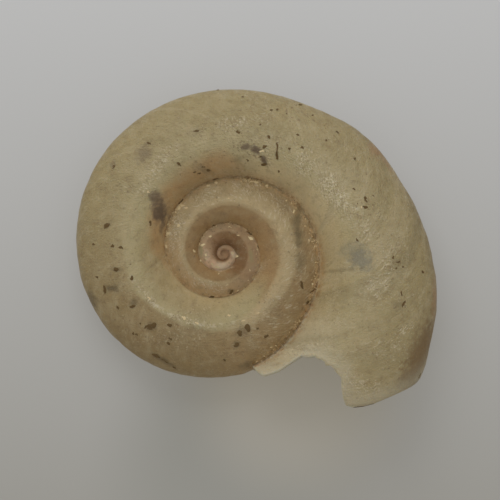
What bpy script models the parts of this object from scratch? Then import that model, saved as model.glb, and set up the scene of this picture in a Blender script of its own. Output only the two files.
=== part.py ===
"""Ramshorn snail shell: a flat coil of four whorls, hollow and open at its mouth.

The shell is one piece, grown as a tube that widens while it winds round its axis.
Growth is counted in whorls from the nucleus. Every whorl begins on the -Y side of
the coil and runs clockwise seen from above: growth 3.25 lies towards -X, 3.5
towards +Y and 3.75 towards +X. The shell lies on its lower side, with Z = 0 under
the last whorl. Sizes are in millimetres and become metres when the mesh is made.
"""
import math
from functools import lru_cache

import bmesh
import bpy
import numpy as np

METRES = 0.001
SHELL = "shell"
COLLECTION = "ramshorn_snail_shell"

# Place of the coil's axis, from the middle of the shell's outline seen from above.
AXIS_X = -0.5345
AXIS_Y = -0.1333

# Growth at which the upper lip meets the coil, in whorls.
LIP_GROWTH = 3.96

# Distance from the axis to the outer edge, at a growth in whorls.
OUTER_EDGE = (
    (0.0, 0.10),
    (0.5, 0.16),
    (1.0, 0.28),
    (1.25, 0.46),
    (1.5, 0.56),
    (1.75, 0.64),
    (2.0, 0.77),
    (2.25, 1.03),
    (2.5, 1.35),
    (2.7, 1.61),
    (2.85, 1.74),
    (2.96, 1.95),
    (3.04, 2.08),
    (3.125, 2.24),
    (3.25, 2.45),
    (3.375, 2.64),
    (3.48, 2.74),
    (3.58, 2.83),
    (3.64, 3.06),
    (3.75, 3.44),
    (3.79, 3.64),
    (3.85, 3.85),
    (3.96, 4.10),
)

# Height of the whorl, from its lowest to its highest line.
WHORL_HEIGHT = (
    (0.0, 0.07),
    (1.0, 0.16),
    (2.0, 0.42),
    (3.0, 0.96),
    (3.5, 1.24),
    (3.96, 1.60),
)

# Level of the middle of the inner whorls. The last whorl stands on Z = 0 instead.
MIDDLE_LEVEL = (
    (0.0, 0.58),
    (1.0, 0.57),
    (2.0, 0.55),
    (2.5, 0.52),
    (3.0, 0.48),
)

# Wall thickness, and the thickness of the film that lines the coil inside the mouth.
WALL = (
    (1.0, 0.025),
    (2.0, 0.04),
    (3.0, 0.06),
    (3.96, 0.07),
)
LINING_SHARE = 0.4

# The crest, as a share of the visible width from the suture to the outer edge.
UPPER_CREST = 0.42
LOWER_CREST = 0.50

# How far round the edge of a whorl the next one grips, in degrees above and below
# its outermost line.
UPPER_GRIP = ((0.0, 35.0), (2.5, 35.0), (2.96, 25.0), (3.96, 25.0))
LOWER_GRIP = ((0.0, 32.0), (3.96, 32.0))

# Turn of the surface between a crest and its suture, in degrees.
FLANK_TURN = 62.0

# Points along the flank between suture and crest: 1 at the suture, 0 at the crest.
UPPER_FLANK = (1.0, 0.84, 0.68, 0.51, 0.27)
LOWER_FLANK = (0.25, 0.5, 0.75, 1.0)
SHOULDER_STEPS = 3
EDGE_STEPS = 5

# Columns of the section: upper suture, upper grip, lower grip and lower suture.
UPPER_GRIP_COLUMN = len(UPPER_FLANK) + SHOULDER_STEPS
LOWER_GRIP_COLUMN = UPPER_GRIP_COLUMN + EDGE_STEPS
LAST_COLUMN = LOWER_GRIP_COLUMN + SHOULDER_STEPS + len(LOWER_FLANK)

# The lip leans back from the suture. Each pair is a place across the upper side, as
# a share of the visible width, and how far the lip lies behind its suture there, in
# degrees of growth. Between 0.12 and 0.65 a piece is broken out of the thin lip.
UPPER_LIP = (
    (0.0, 0.0),
    (0.11, 4.0),
    (0.17, 21.5),
    (0.25, 26.5),
    (0.35, 28.6),
    (0.48, 27.6),
    (0.67, 24.8),
    (0.75, 27.8),
    (0.87, 33.0),
    (1.0, 42.0),
)
LOWER_LIP = (
    (0.0, 0.0),
    (0.05, 17.0),
    (0.2, 30.0),
    (0.5, 40.0),
    (0.8, 44.0),
    (1.0, 42.0),
)
LEAN_START = 3.40

# Rows of the mesh to a whorl, and the growth at which the hollow begins.
ROWS = 48
HOLLOW_START = 1.5
HOLLOW_ROW_STEP = 2

# The nucleus: how far its inner line stays from the axis, as a share of its radius.
NUCLEUS_HOLE = 0.35

HORN_COLOUR = (0.45, 0.36, 0.22, 1.0)
HORN_ROUGHNESS = 0.45


def smooth_through(table, place):
    """Value at a place of the smooth curve through a table of (place, value) pairs."""
    last = len(table) - 1
    if place <= table[0][0]:
        return table[0][1]
    if place >= table[last][0]:
        return table[last][1]
    left = max(k for k in range(last) if table[k][0] <= place)

    def slope(k):
        before = table[max(k - 1, 0)]
        after = table[min(k + 1, last)]
        return (after[1] - before[1]) / (after[0] - before[0])

    x0, y0 = table[left]
    x1, y1 = table[left + 1]
    span = x1 - x0
    t = (place - x0) / span
    start_part = (1 + 2 * t) * (1 - t) ** 2 * y0 + t * (1 - t) ** 2 * span * slope(left)
    end_part = t * t * (3 - 2 * t) * y1 + t * t * (t - 1) * span * slope(left + 1)
    return start_part + end_part


def straight_through(table, place):
    """Value at a place of the straight lines through a table of (place, value) pairs."""
    places = [pair[0] for pair in table]
    values = [pair[1] for pair in table]
    return float(np.interp(place, places, values))


def middle_level(growth):
    """Level of the middle of a whorl."""
    standing = smooth_through(WHORL_HEIGHT, growth) / 2
    if growth >= MIDDLE_LEVEL[-1][0]:
        return standing
    return smooth_through(MIDDLE_LEVEL, growth)


def flank_point(crest, suture, share):
    """Point between crest and suture, level at the crest and steep at the suture."""
    full = math.radians(FLANK_TURN)
    turn = full * share
    out = math.sin(turn) / math.sin(full)
    down = (1 - math.cos(turn)) / (1 - math.cos(full))
    radius = crest[0] + (suture[0] - crest[0]) * out
    level = crest[1] + (suture[1] - crest[1]) * down
    return (radius, level)


@lru_cache(maxsize=None)
def section(growth):
    """Outline of the whorl at a growth, as (radius, level) pairs.

    It runs from the upper suture over the crest, round the outer edge and under the
    whorl to the lower suture. Both sutures lie on the whorl before.
    """
    edge = smooth_through(OUTER_EDGE, growth)
    half = smooth_through(WHORL_HEIGHT, growth) / 2
    middle = middle_level(growth)
    if growth >= 1:
        before = section(growth - 1)
        upper_suture = before[UPPER_GRIP_COLUMN]
        lower_suture = before[LOWER_GRIP_COLUMN]
    else:
        upper_suture = (edge * NUCLEUS_HOLE, middle + half * 0.3)
        lower_suture = (edge * NUCLEUS_HOLE, middle - half * 0.3)
    crest_radius = upper_suture[0] + (edge - upper_suture[0]) * UPPER_CREST
    under_radius = lower_suture[0] + (edge - lower_suture[0]) * LOWER_CREST
    crest = (crest_radius, middle + half)
    under = (under_radius, middle - half)
    upper_grip = straight_through(UPPER_GRIP, growth)
    lower_grip = -straight_through(LOWER_GRIP, growth)

    outline = [flank_point(crest, upper_suture, share) for share in UPPER_FLANK]
    angles = list(np.linspace(90.0, upper_grip, SHOULDER_STEPS + 1))
    angles += list(np.linspace(upper_grip, lower_grip, EDGE_STEPS + 1)[1:])
    angles += list(np.linspace(lower_grip, -90.0, SHOULDER_STEPS + 1)[1:])
    for angle in angles:
        turn = math.radians(angle)
        start = crest_radius if angle >= 0 else under_radius
        radius = start + (edge - start) * math.cos(turn)
        outline.append((radius, middle + half * math.sin(turn)))
    outline += [flank_point(under, lower_suture, share) for share in LOWER_FLANK]
    return tuple(outline)


@lru_cache(maxsize=None)
def hollow_section(growth):
    """Outline of the hollow: the section and the whorl before it, each set in by its wall."""
    outer = section(growth)
    before = section(growth - 1)
    facing = before[LOWER_GRIP_COLUMN - 1:UPPER_GRIP_COLUMN:-1]
    ring = np.array(outer + facing)
    wall = smooth_through(WALL, growth)
    depths = [wall] * LAST_COLUMN + [wall * LINING_SHARE] * (len(ring) - LAST_COLUMN)
    moved = []
    for k in range(len(ring)):
        into = ring[k] - ring[k - 1]
        out_of = ring[(k + 1) % len(ring)] - ring[k]
        # The section runs clockwise with the radius to the right, so its inside lies
        # to the right of each side.
        inward = [np.array((side[1], -side[0])) / np.hypot(*side) for side in (into, out_of)]
        depth_pair = (depths[k - 1], depths[k])
        if np.dot(inward[0], inward[1]) > 0.95:
            shift = (inward[0] * depth_pair[0] + inward[1] * depth_pair[1]) / 2
        else:
            shift = np.linalg.solve(np.array(inward), np.array(depth_pair))
        reach = np.hypot(*shift)
        limit = 2.6 * wall
        if reach > limit:
            shift = shift * limit / reach
        moved.append(tuple(ring[k] + shift))
    return tuple(moved)


def lean_of_columns():
    """How far each column's lip lies behind the suture, in whorls."""
    outline = section(LIP_GROWTH)
    edge = smooth_through(OUTER_EDGE, LIP_GROWTH)
    middle = middle_level(LIP_GROWTH)
    leans = []
    for column, (radius, level) in enumerate(outline):
        above = level >= middle
        suture_radius = outline[0][0] if above else outline[-1][0]
        share = (radius - suture_radius) / (edge - suture_radius)
        table = UPPER_LIP if above else LOWER_LIP
        leans.append(smooth_through(table, share) / 360)
    return leans


def leaning_growth(growth, lean):
    """Growth of a column's point in the row that meets the coil at this growth."""
    along = min(max((growth - LEAN_START) / (LIP_GROWTH - LEAN_START), 0.0), 1.0)
    return growth - lean * along * along * (3 - 2 * along)


def place_on_coil(growth, radius, level):
    """Point in metres, from its growth, its distance from the axis and its level."""
    turn = 2 * math.pi * growth
    x = AXIS_X - radius * math.sin(turn)
    y = AXIS_Y - radius * math.cos(turn)
    return (x * METRES, y * METRES, level * METRES)


def grow_shell():
    """The shell's mesh: its outside, its hollow and the lip between them."""
    mesh = bmesh.new()
    leans = lean_of_columns()
    last_row = round(LIP_GROWTH * ROWS)
    row_growth = [LIP_GROWTH - (last_row - row) / ROWS for row in range(last_row + 1)]
    first_bare_row = last_row - ROWS

    # The outside. A whorl shares its suture points with the whorl before, and the part
    # of an inner whorl that the next one covers has no surface of its own.
    outside = {}
    for row in range(last_row + 1):
        for column in range(LAST_COLUMN + 1):
            covered = UPPER_GRIP_COLUMN < column < LOWER_GRIP_COLUMN
            if covered and row < first_bare_row:
                continue
            if row >= ROWS and column == 0:
                outside[row, column] = outside[row - ROWS, UPPER_GRIP_COLUMN]
            elif row >= ROWS and column == LAST_COLUMN:
                outside[row, column] = outside[row - ROWS, LOWER_GRIP_COLUMN]
            else:
                growth = leaning_growth(row_growth[row], leans[column])
                radius, level = section(max(growth, 0.0))[column]
                outside[row, column] = mesh.verts.new(place_on_coil(growth, radius, level))
    for row in range(last_row):
        for column in range(LAST_COLUMN):
            covered = UPPER_GRIP_COLUMN <= column < LOWER_GRIP_COLUMN
            if covered and row < first_bare_row:
                continue
            corners = (
                outside[row, column],
                outside[row + 1, column],
                outside[row + 1, column + 1],
                outside[row, column + 1],
            )
            mesh.faces.new(corners)

    # The nucleus, closed above and below.
    for side, grip_column, suture_column in (
        (1, UPPER_GRIP_COLUMN, 0),
        (-1, LOWER_GRIP_COLUMN, LAST_COLUMN),
    ):
        rim = [outside[row, suture_column] for row in range(ROWS + 1)]
        step = 1 if suture_column > grip_column else -1
        rim += [outside[0, column] for column in range(grip_column + step, suture_column, step)]
        level = section(0.0)[suture_column][1]
        centre = mesh.verts.new(place_on_coil(0.0, 0.0, level))
        for k in range(len(rim)):
            ahead = rim[(k + 1) % len(rim)]
            corners = (centre, ahead, rim[k]) if side > 0 else (centre, rim[k], ahead)
            mesh.faces.new(corners)

    # The hollow, from its blind end to the mouth.
    ring_size = LAST_COLUMN + LOWER_GRIP_COLUMN - UPPER_GRIP_COLUMN
    first_hollow_row = last_row - HOLLOW_ROW_STEP * int(
        (LIP_GROWTH - HOLLOW_START) * ROWS / HOLLOW_ROW_STEP
    )
    rings = []
    for row in range(first_hollow_row, last_row + 1, HOLLOW_ROW_STEP):
        ring = []
        for column in range(ring_size):
            lean = leans[column] if column <= LAST_COLUMN else 0.0
            growth = leaning_growth(row_growth[row], lean)
            radius, level = hollow_section(growth)[column]
            ring.append(mesh.verts.new(place_on_coil(growth, radius, level)))
        rings.append(ring)
    for ring, next_ring in zip(rings, rings[1:]):
        for k in range(ring_size):
            ahead = (k + 1) % ring_size
            mesh.faces.new((ring[k], ring[ahead], next_ring[ahead], next_ring[k]))
    blind_growth = row_growth[first_hollow_row]
    blind = np.mean(hollow_section(blind_growth), axis=0)
    blind_point = mesh.verts.new(place_on_coil(blind_growth, blind[0], blind[1]))
    for k in range(ring_size):
        mesh.faces.new((blind_point, rings[0][(k + 1) % ring_size], rings[0][k]))

    # The lip, and the edge of the lining where the coil closes the mouth.
    mouth = [outside[last_row, column] for column in range(LAST_COLUMN + 1)]
    mouth += [
        outside[first_bare_row, column]
        for column in range(LOWER_GRIP_COLUMN - 1, UPPER_GRIP_COLUMN, -1)
    ]
    for k in range(ring_size):
        ahead = (k + 1) % ring_size
        mesh.faces.new((mouth[k], rings[-1][k], rings[-1][ahead], mouth[ahead]))

    shell_mesh = bpy.data.meshes.new(SHELL)
    mesh.to_mesh(shell_mesh)
    mesh.free()
    return shell_mesh


def horn_material():
    """Thin horn-coloured lime of the shell."""
    material = bpy.data.materials.new("shell_horn")
    material.use_nodes = True
    shader = material.node_tree.nodes["Principled BSDF"]
    shader.inputs["Base Color"].default_value = HORN_COLOUR
    shader.inputs["Roughness"].default_value = HORN_ROUGHNESS
    shader.inputs["Metallic"].default_value = 0.0
    return material


def main():
    for old in list(bpy.data.objects):
        bpy.data.objects.remove(old)
    collection = bpy.data.collections.new(COLLECTION)
    bpy.context.scene.collection.children.link(collection)
    shell_mesh = grow_shell()
    shell_mesh.materials.append(horn_material())
    shell_mesh.shade_smooth()
    shell = bpy.data.objects.new(SHELL, shell_mesh)
    collection.objects.link(shell)


main()
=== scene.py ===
# %% [markdown]
# # A ramshorn snail shell
#
# A pond snail grew this shell as one tube of thin lime, wound flat round its own
# start. We dress a imported model of it: the model gives the size and the place, and
# this script gives the fine surface, the colours, the dirt, the light and the view.
# The first cell loads that model and keeps the size of its box, to print at the end.

# %% Load the fixed frame
import math

import bpy
import numpy as np
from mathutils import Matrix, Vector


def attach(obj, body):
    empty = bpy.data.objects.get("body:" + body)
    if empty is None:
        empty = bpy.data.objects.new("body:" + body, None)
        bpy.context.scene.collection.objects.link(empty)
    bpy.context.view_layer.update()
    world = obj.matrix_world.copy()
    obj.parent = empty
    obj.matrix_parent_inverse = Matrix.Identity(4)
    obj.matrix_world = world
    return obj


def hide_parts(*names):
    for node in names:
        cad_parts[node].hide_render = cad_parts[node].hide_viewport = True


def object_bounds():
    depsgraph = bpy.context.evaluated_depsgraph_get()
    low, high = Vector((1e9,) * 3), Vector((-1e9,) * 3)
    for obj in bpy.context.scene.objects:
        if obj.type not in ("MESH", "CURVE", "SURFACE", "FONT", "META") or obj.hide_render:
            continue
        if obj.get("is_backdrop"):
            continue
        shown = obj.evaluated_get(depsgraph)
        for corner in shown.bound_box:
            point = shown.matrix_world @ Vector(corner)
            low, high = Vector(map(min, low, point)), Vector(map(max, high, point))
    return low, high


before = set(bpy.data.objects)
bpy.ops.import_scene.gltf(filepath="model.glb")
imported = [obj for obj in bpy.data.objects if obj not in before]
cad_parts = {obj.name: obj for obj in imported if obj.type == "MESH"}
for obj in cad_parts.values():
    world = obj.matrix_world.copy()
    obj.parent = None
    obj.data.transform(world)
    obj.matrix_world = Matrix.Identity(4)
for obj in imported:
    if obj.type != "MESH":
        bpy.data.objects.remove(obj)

model_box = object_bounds()
MM = 0.001
print("model box in mm:", [[round(v / MM, 2) for v in corner] for corner in model_box])

# %% [markdown]
# ## The law of growth
#
# A snail adds lime only at the lip, so every older line of the shell is an earlier
# lip, and one law gives the whole coil. We count growth in whorls from the nucleus,
# and read the law as a few sizes in millimetres at a few growths, with a smooth
# curve between them. A coil could also be sculpted, or modelled as one spiral of a
# fixed rate, but a real shell speeds up and slows down, and a table can follow it.

# %% Sizes of the coil
# In millimetres, from the middle of the outline. Growth is in whorls from the nucleus.
AXIS = (-0.5345, -0.1333)
LIP_GROWTH = 3.96
OUTER_EDGE = (
    (0.0, 0.10), (0.5, 0.16), (1.0, 0.28), (1.25, 0.46), (1.5, 0.56), (1.75, 0.64),
    (2.0, 0.77), (2.25, 1.03), (2.5, 1.35), (2.7, 1.61), (2.85, 1.76), (2.96, 1.985),
    (3.04, 2.10), (3.125, 2.25), (3.25, 2.44), (3.375, 2.62), (3.48, 2.71), (3.58, 2.825),
    (3.64, 3.05), (3.69, 3.18), (3.75, 3.44), (3.79, 3.635), (3.815, 3.725), (3.835, 3.83),
    (3.86, 3.90), (3.96, 4.10),
)
WHORL_HEIGHT = ((0.0, 0.07), (1.0, 0.16), (2.0, 0.42), (3.0, 0.96), (3.5, 1.24), (3.96, 1.60))
MIDDLE_LEVEL = ((0.0, 0.58), (1.0, 0.57), (2.0, 0.55), (2.5, 0.52), (3.0, 0.48))
WALL = ((1.0, 0.025), (2.0, 0.04), (3.0, 0.06), (3.8, 0.07), (3.96, 0.045))
# The wall is lined with a film where it leans on the older whorl.
LINING_SHARE = 0.4
# The crest, as a share of the width from the suture to the edge.
UPPER_CREST = 0.42
LOWER_CREST = 0.50
# How far round its edge the next whorl grips a whorl, in degrees above and below.
UPPER_GRIP = ((0.0, 35.0), (2.5, 35.0), (2.96, 25.0), (3.96, 25.0))
LOWER_GRIP = 32.0
# How steeply the flanks run into the sutures, in degrees.
UPPER_TURN = (
    (2.0, 62.0), (2.2, 46.0), (2.7, 46.0), (2.85, 60.0), (3.45, 60.0), (3.62, 42.0), (3.9, 42.0),
)
LOWER_TURN = 62.0
NUCLEUS_HOLE = 0.35
NUCLEUS_STEEPNESS = 0.3


def smooth_through(table, places):
    """Smooth curve through (place, value) pairs, read at many places at once."""
    xs, ys = np.array(table, dtype=float).T
    slopes = np.empty(len(xs))
    slopes[1:-1] = (ys[2:] - ys[:-2]) / (xs[2:] - xs[:-2])
    slopes[0] = (ys[1] - ys[0]) / (xs[1] - xs[0])
    slopes[-1] = (ys[-1] - ys[-2]) / (xs[-1] - xs[-2])
    places = np.clip(places, xs[0], xs[-1])
    left = np.clip(np.searchsorted(xs, places, side="right") - 1, 0, len(xs) - 2)
    span = xs[left + 1] - xs[left]
    t = (places - xs[left]) / span
    start = (1 + 2 * t) * (1 - t) ** 2 * ys[left] + t * (1 - t) ** 2 * span * slopes[left]
    end = t * t * (3 - 2 * t) * ys[left + 1] + t * t * (t - 1) * span * slopes[left + 1]
    return start + end


print("edge at the last quarter turns:", smooth_through(OUTER_EDGE, [3.25, 3.5, 3.75]).round(2))

# %% [markdown]
# ## One section of the tube
#
# Cut the shell with a plane through its axis and each whorl shows as an oval that
# leans on the whorl before. Its outer half is two quarter ellipses. Its inner
# flanks turn down into the sutures, the seams where it is glued to the older whorl:
# steeply on the oldest and the last whorl, and more gently between and at the mouth.
# A section is found from the section one turn earlier, so the function calls itself
# until it reaches the nucleus.

# %% Section of the tube
def upper_grip(growth):
    """Angle round the edge at which the next whorl takes hold above."""
    places, angles = np.array(UPPER_GRIP).T
    return np.radians(np.interp(growth, places, angles))


def on_shoulder(whorl, angle):
    """Point on the outer half of a whorl: angle 90 degrees is the crest and 0 the edge."""
    start = np.where(angle >= 0, whorl["crest"], whorl["under"])
    radius = start + (whorl["edge"] - start) * np.cos(angle)
    return np.array([radius, whorl["middle"] + whorl["half"] * np.sin(angle)])


def whorl_at(growth):
    """Main lines of the whorl at each growth."""
    edge = smooth_through(OUTER_EDGE, growth)
    half = smooth_through(WHORL_HEIGHT, growth) / 2
    middle = np.where(growth >= 3, half, smooth_through(MIDDLE_LEVEL, growth))
    upper = np.array([edge * NUCLEUS_HOLE, middle + half * NUCLEUS_STEEPNESS])
    lower = np.array([edge * NUCLEUS_HOLE, middle - half * NUCLEUS_STEEPNESS])
    if np.any(growth >= 1):
        earlier = np.maximum(growth - 1, 0)
        before = whorl_at(earlier)
        joined = growth >= 1
        upper = np.where(joined, on_shoulder(before, upper_grip(earlier)), upper)
        grip_below = np.full_like(earlier, -math.radians(LOWER_GRIP))
        lower = np.where(joined, on_shoulder(before, grip_below), lower)
    return {
        "edge": edge, "half": half, "middle": middle, "upper": upper, "lower": lower,
        "crest": upper[0] + (edge - upper[0]) * UPPER_CREST,
        "under": lower[0] + (edge - lower[0]) * LOWER_CREST,
    }


# Zones round the section, and the columns of the mesh in each. A column is a
# (zone, part) pair, where part runs from 0 to 1 across its zone.
ZONES = ("upper flank", "upper shoulder", "edge", "lower shoulder", "lower flank")
ZONE_COLUMNS = (16, 11, 12, 8, 9)
columns = [(zone, k / steps) for zone, steps in enumerate(ZONE_COLUMNS) for k in range(steps)]
LOWER_FLANK = len(ZONES) - 1
columns.append((LOWER_FLANK, 1.0))
UPPER_GRIP_COLUMN = ZONE_COLUMNS[0] + ZONE_COLUMNS[1]
LOWER_GRIP_COLUMN = UPPER_GRIP_COLUMN + ZONE_COLUMNS[2]
LAST_COLUMN = len(columns) - 1
print(LAST_COLUMN + 1, "columns round the section")

# %% Points round the section
def shoulder_angle(growth, zone, part):
    """Angle of a column in one of the three outer zones."""
    above = upper_grip(growth)
    below = -math.radians(LOWER_GRIP)
    ends = ((math.pi / 2, above), (above, below), (below, -math.pi / 2))[zone - 1]
    return ends[0] + (ends[1] - ends[0]) * part + 0 * growth


def section_point(growth, column):
    """Distance from the axis and level of a column at each growth, in millimetres."""
    zone, part = columns[column]
    whorl = whorl_at(growth)
    if 1 <= zone <= 3:
        return on_shoulder(whorl, shoulder_angle(growth, zone, part))
    above = zone == 0
    suture = whorl["upper"] if above else whorl["lower"]
    start = whorl["crest"] if above else whorl["under"]
    level = whorl["middle"] + (whorl["half"] if above else -whorl["half"])
    steepest = np.radians(np.interp(growth, *np.array(UPPER_TURN).T) if above else LOWER_TURN)
    turn = steepest * (1 - part if above else part)
    out = np.sin(turn) / np.sin(steepest)
    down = (1 - np.cos(turn)) / (1 - np.cos(steepest))
    return np.array([start + (suture[0] - start) * out, level + (suture[1] - level) * down])


at_mouth = np.array([section_point(np.array([3.85]), c)[:, 0] for c in range(LAST_COLUMN + 1)])
print("section at the mouth, width and height in mm:", np.ptp(at_mouth, axis=0).round(2))

# %% [markdown]
# ## The lip, whole and broken
#
# The lip of this kind of snail is not square to the tube. It leans back from the
# suture to the edge, and so do all the growth lines, which are old lips. On this
# shell a piece is broken out of the thin upper lip. A Boolean could cut it out, but
# would leave ragged faces. We keep two tables instead: the whole lip guides the
# growth lines, and the rows of the mesh lean back until they end at the broken one.

# %% The lip
# Each pair is a place across the side, as a share of the visible width, and how far
# the lip lies behind its suture there, in degrees of growth.
WHOLE_LIP = (
    (0.0, 0.0), (0.2, 9.5), (0.42, 17.5), (0.67, 24.8), (0.87, 34.0), (0.95, 39.6), (1.0, 43.4),
)
BROKEN_LIP = (
    (0.0, 0.0), (0.05, 1.8), (0.1, 4.5), (0.112, 8.0), (0.12, 13.0), (0.128, 18.8),
    (0.142, 22.4), (0.183, 25.2), (0.25, 27.6), (0.33, 28.9), (0.41, 29.3), (0.475, 28.9),
    (0.54, 27.4), (0.596, 25.6), (0.652, 24.6), (0.705, 26.2), (0.756, 28.5), (0.803, 31.0),
    (0.846, 33.8), (0.884, 36.0), (0.918, 37.9), (0.95, 39.6), (0.975, 41.0), (0.99, 42.2),
    (1.0, 43.4),
)
LOWER_LIP = ((0.0, 0.0), (0.05, 17.0), (0.2, 30.0), (0.5, 40.0), (0.8, 44.2), (1.0, 43.4))
LEAN_START = 3.40
# Degrees of growth that the chips along the break reach, and the shares they lie between.
CHIP_DEPTH = 0.5
CHIPPED = (0.1, 0.62)
# The upper lip is whole past this share.
WHOLE_FROM = 0.7


def share_across(column):
    """Place of a column across its side at the mouth: 0 at the suture, 1 at the edge."""
    growth = np.array([LIP_GROWTH])
    whorl = whorl_at(growth)
    radius, level = section_point(growth, column)[:, 0]
    zone = columns[column][0]
    above = zone == 0 or (zone < LOWER_FLANK and level >= whorl["middle"][0])
    inner = whorl["upper"][0, 0] if above else whorl["lower"][0, 0]
    return (radius - inner) / (whorl["edge"][0] - inner), above


def leans(upper_table):
    """How far each column's lip lies behind the suture, in whorls."""
    found = []
    for column in range(LAST_COLUMN + 1):
        share, above = share_across(column)
        found.append(smooth_through(upper_table if above else LOWER_LIP, share) / 360)
    return np.array(found)


whole_lean = leans(WHOLE_LIP)
lip_lean = leans(BROKEN_LIP)
# Small chips along the broken stretch: two waves that don't keep step.
for column in range(2, LAST_COLUMN + 1):
    share, above = share_across(column)
    if above and CHIPPED[0] < share < CHIPPED[1]:
        chip = math.sin(column * 2.3) + 0.6 * math.sin(column * 5.1 + 1.0)
        lip_lean[column] += CHIP_DEPTH * chip / 360
print("the broken lip lies at most", round(360 * lip_lean.max(), 1), "degrees behind its suture")


def leaning_growth(growth, lean):
    """Growth of a column's points in the rows that meet the coil at these growths."""
    along = np.clip((growth - LEAN_START) / (LIP_GROWTH - LEAN_START), 0, 1)
    return growth - lean * along * along * (3 - 2 * along)


# %% [markdown]
# ## The flat chart
#
# We first lay the shell out flat: one strip of faces, with growth along it and the
# section across it. Each point carries how far from the axis and how high it will
# lie. Where a whorl is glued to the one before, both share the same points, so the
# chart is already stitched along its sutures and has no seam to close later. The
# hollow is a second strip, set in by the thickness of the wall.

# %% The hollow's own section
# The hollow's ring runs along the section and back over the whorl that it leans on.
RING_SIZE = LAST_COLUMN + LOWER_GRIP_COLUMN - UPPER_GRIP_COLUMN
# Where the outline bends more than this, as a sine, both sides keep their own wall. No
# point moves in by more than so many walls.
SHARP_BEND = 0.3
LONGEST_SHIFT = 2.6
print(RING_SIZE, "points round the hollow")


def ring_point(growth, place):
    """Outline round the hollow before the wall: the section, then the whorl it leans on."""
    place %= RING_SIZE
    if place <= LAST_COLUMN:
        return section_point(growth, place)
    return section_point(growth - 1, LOWER_GRIP_COLUMN - (place - LAST_COLUMN))


def hollow_point(growth, place):
    """A ring point set into the hollow, so that each side moves in by its own wall."""
    here = ring_point(growth, place)
    sides = (here - ring_point(growth, place - 1), ring_point(growth, place + 1) - here)
    inward = [np.array([side[1], -side[0]]) / np.hypot(side[0], side[1]) for side in sides]
    wall = smooth_through(WALL, growth)
    lining = wall * LINING_SHARE
    depth_in = wall if 0 < place <= LAST_COLUMN else lining
    depth_out = wall if place < LAST_COLUMN else lining
    cross = inward[0][0] * inward[1][1] - inward[0][1] * inward[1][0]
    bent = np.abs(cross) > SHARP_BEND
    safe = np.where(bent, cross, 1.0)
    corner = np.array([
        (depth_in * inward[1][1] - depth_out * inward[0][1]) / safe,
        (depth_out * inward[0][0] - depth_in * inward[1][0]) / safe,
    ])
    smooth = (inward[0] * depth_in + inward[1] * depth_out) / 2
    shift = np.where(bent, corner, smooth)
    reach = np.hypot(shift[0], shift[1])
    return here + shift * np.minimum(1, LONGEST_SHIFT * wall / reach)


# %% What each point carries
ROWS = 300
HOLLOW_START = 1.25
HOLLOW_ROW_STEP = 2
last_row = round(LIP_GROWTH * ROWS)
first_bare_row = last_row - ROWS
row_growth = LIP_GROWTH - (last_row - np.arange(last_row + 1)) / ROWS
row_growth[0] = max(row_growth[0], 0.0)
# Place of the crest round the section.
CREST_PLACE = 0.22
# What each point carries besides its place: the share of sculpture, its growth line,
# its place round the section, how near the lip it lies, and its share of the ridge.
MARKS = ("relief", "line", "around", "near_lip", "ridge")
# Both whorls at a suture share its points, so the colours read their marks from the
# corners of the faces: growth line and place (the map), growth, and distance past the
# ridge, each for the face's own whorl.
CORNER_MARKS = ("grown", "past_ridge")


class Chart:
    """The flat strip: points with what the tree needs to wind and carve them, and faces."""

    def __init__(self):
        self.points = []
        self.faces = []
        self.face_maps = []

    def point(self, growth, radius, level, **marks):
        marks = [marks.get(name, 0.0) for name in MARKS]
        self.points.append((growth, radius, level, *marks))
        return len(self.points) - 1

    def face(self, corners, maps):
        self.faces.append(corners)
        self.face_maps.extend(maps)


def around(column):
    """Place of a column round the section: 0 upper suture, 0.5 edge, 1 lower suture."""
    zone, part = columns[column]
    if zone == 0:
        return CREST_PLACE * part
    if zone == LOWER_FLANK:
        return 1 - CREST_PLACE + CREST_PLACE * part
    angle = float(shoulder_angle(3.0, zone, part))
    return CREST_PLACE + (1 - 2 * CREST_PLACE) * (math.pi / 2 - angle) / math.pi


# The sculpture fades in over this width beside a suture, and between these growths.
SMOOTH_AT_SUTURE = 0.05
SMOOTH_UNTIL, CARVED_FROM = 1.2, 2.6


def relief_at(column, growth):
    """Share of the full sculpture: none where whorls are glued, less on the young coil."""
    from_suture = min(around(column), 1 - around(column)) / SMOOTH_AT_SUTURE
    age = (growth - SMOOTH_UNTIL) / (CARVED_FROM - SMOOTH_UNTIL)
    return min(from_suture, 1.0) * min(max(age, 0.0), 1.0)


print(last_row + 1, "rows of points, and", len(MARKS), "marks on each point")

# %% [markdown]
# ## The ridge, and the rows of the chart
#
# The crest of the young whorls is drawn up into a low blunt ridge that fades on the
# last whorl. It is too low for the section, so it is a share that each point carries,
# and the tree below raises the points by it. Then one loop lays all rows of points.

# %% The ridge
# Its place round the section and its strength at a few growths, and its half width.
RIDGE_PLACE = (
    (0.0, 0.25), (1.4, 0.29), (1.6, 0.27), (1.8, 0.235), (2.0, 0.225), (2.6, 0.215),
    (2.75, 0.2), (2.85, 0.185), (3.0, 0.185), (3.07, 0.192), (3.13, 0.2), (3.19, 0.226), (3.4, 0.23),
)
RIDGE_STRENGTH = ((1.2, 0.0), (1.5, 0.5), (2.0, 0.8), (2.9, 0.8), (3.0, 1.0), (3.2, 1.0), (3.35, 0.0))
RIDGE_HALF_WIDTH = 0.03
# Rows behind the lip over which it is worn pale, and over which its sculpture fades.
WORN_ROWS = 12
FADING_ROWS = 6


def ridge_at(growths, across):
    """Share of the full ridge, and how far past it, for points at one place round."""
    strength = np.interp(growths, *np.array(RIDGE_STRENGTH).T)
    past = across - np.interp(growths, *np.array(RIDGE_PLACE).T)
    return strength * np.exp(-((past / RIDGE_HALF_WIDTH) ** 2)), past


print("share of the ridge at growths 2, 3 and 3.3:", ridge_at([2.0, 3.0, 3.3], 0.22)[0].round(2))

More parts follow.
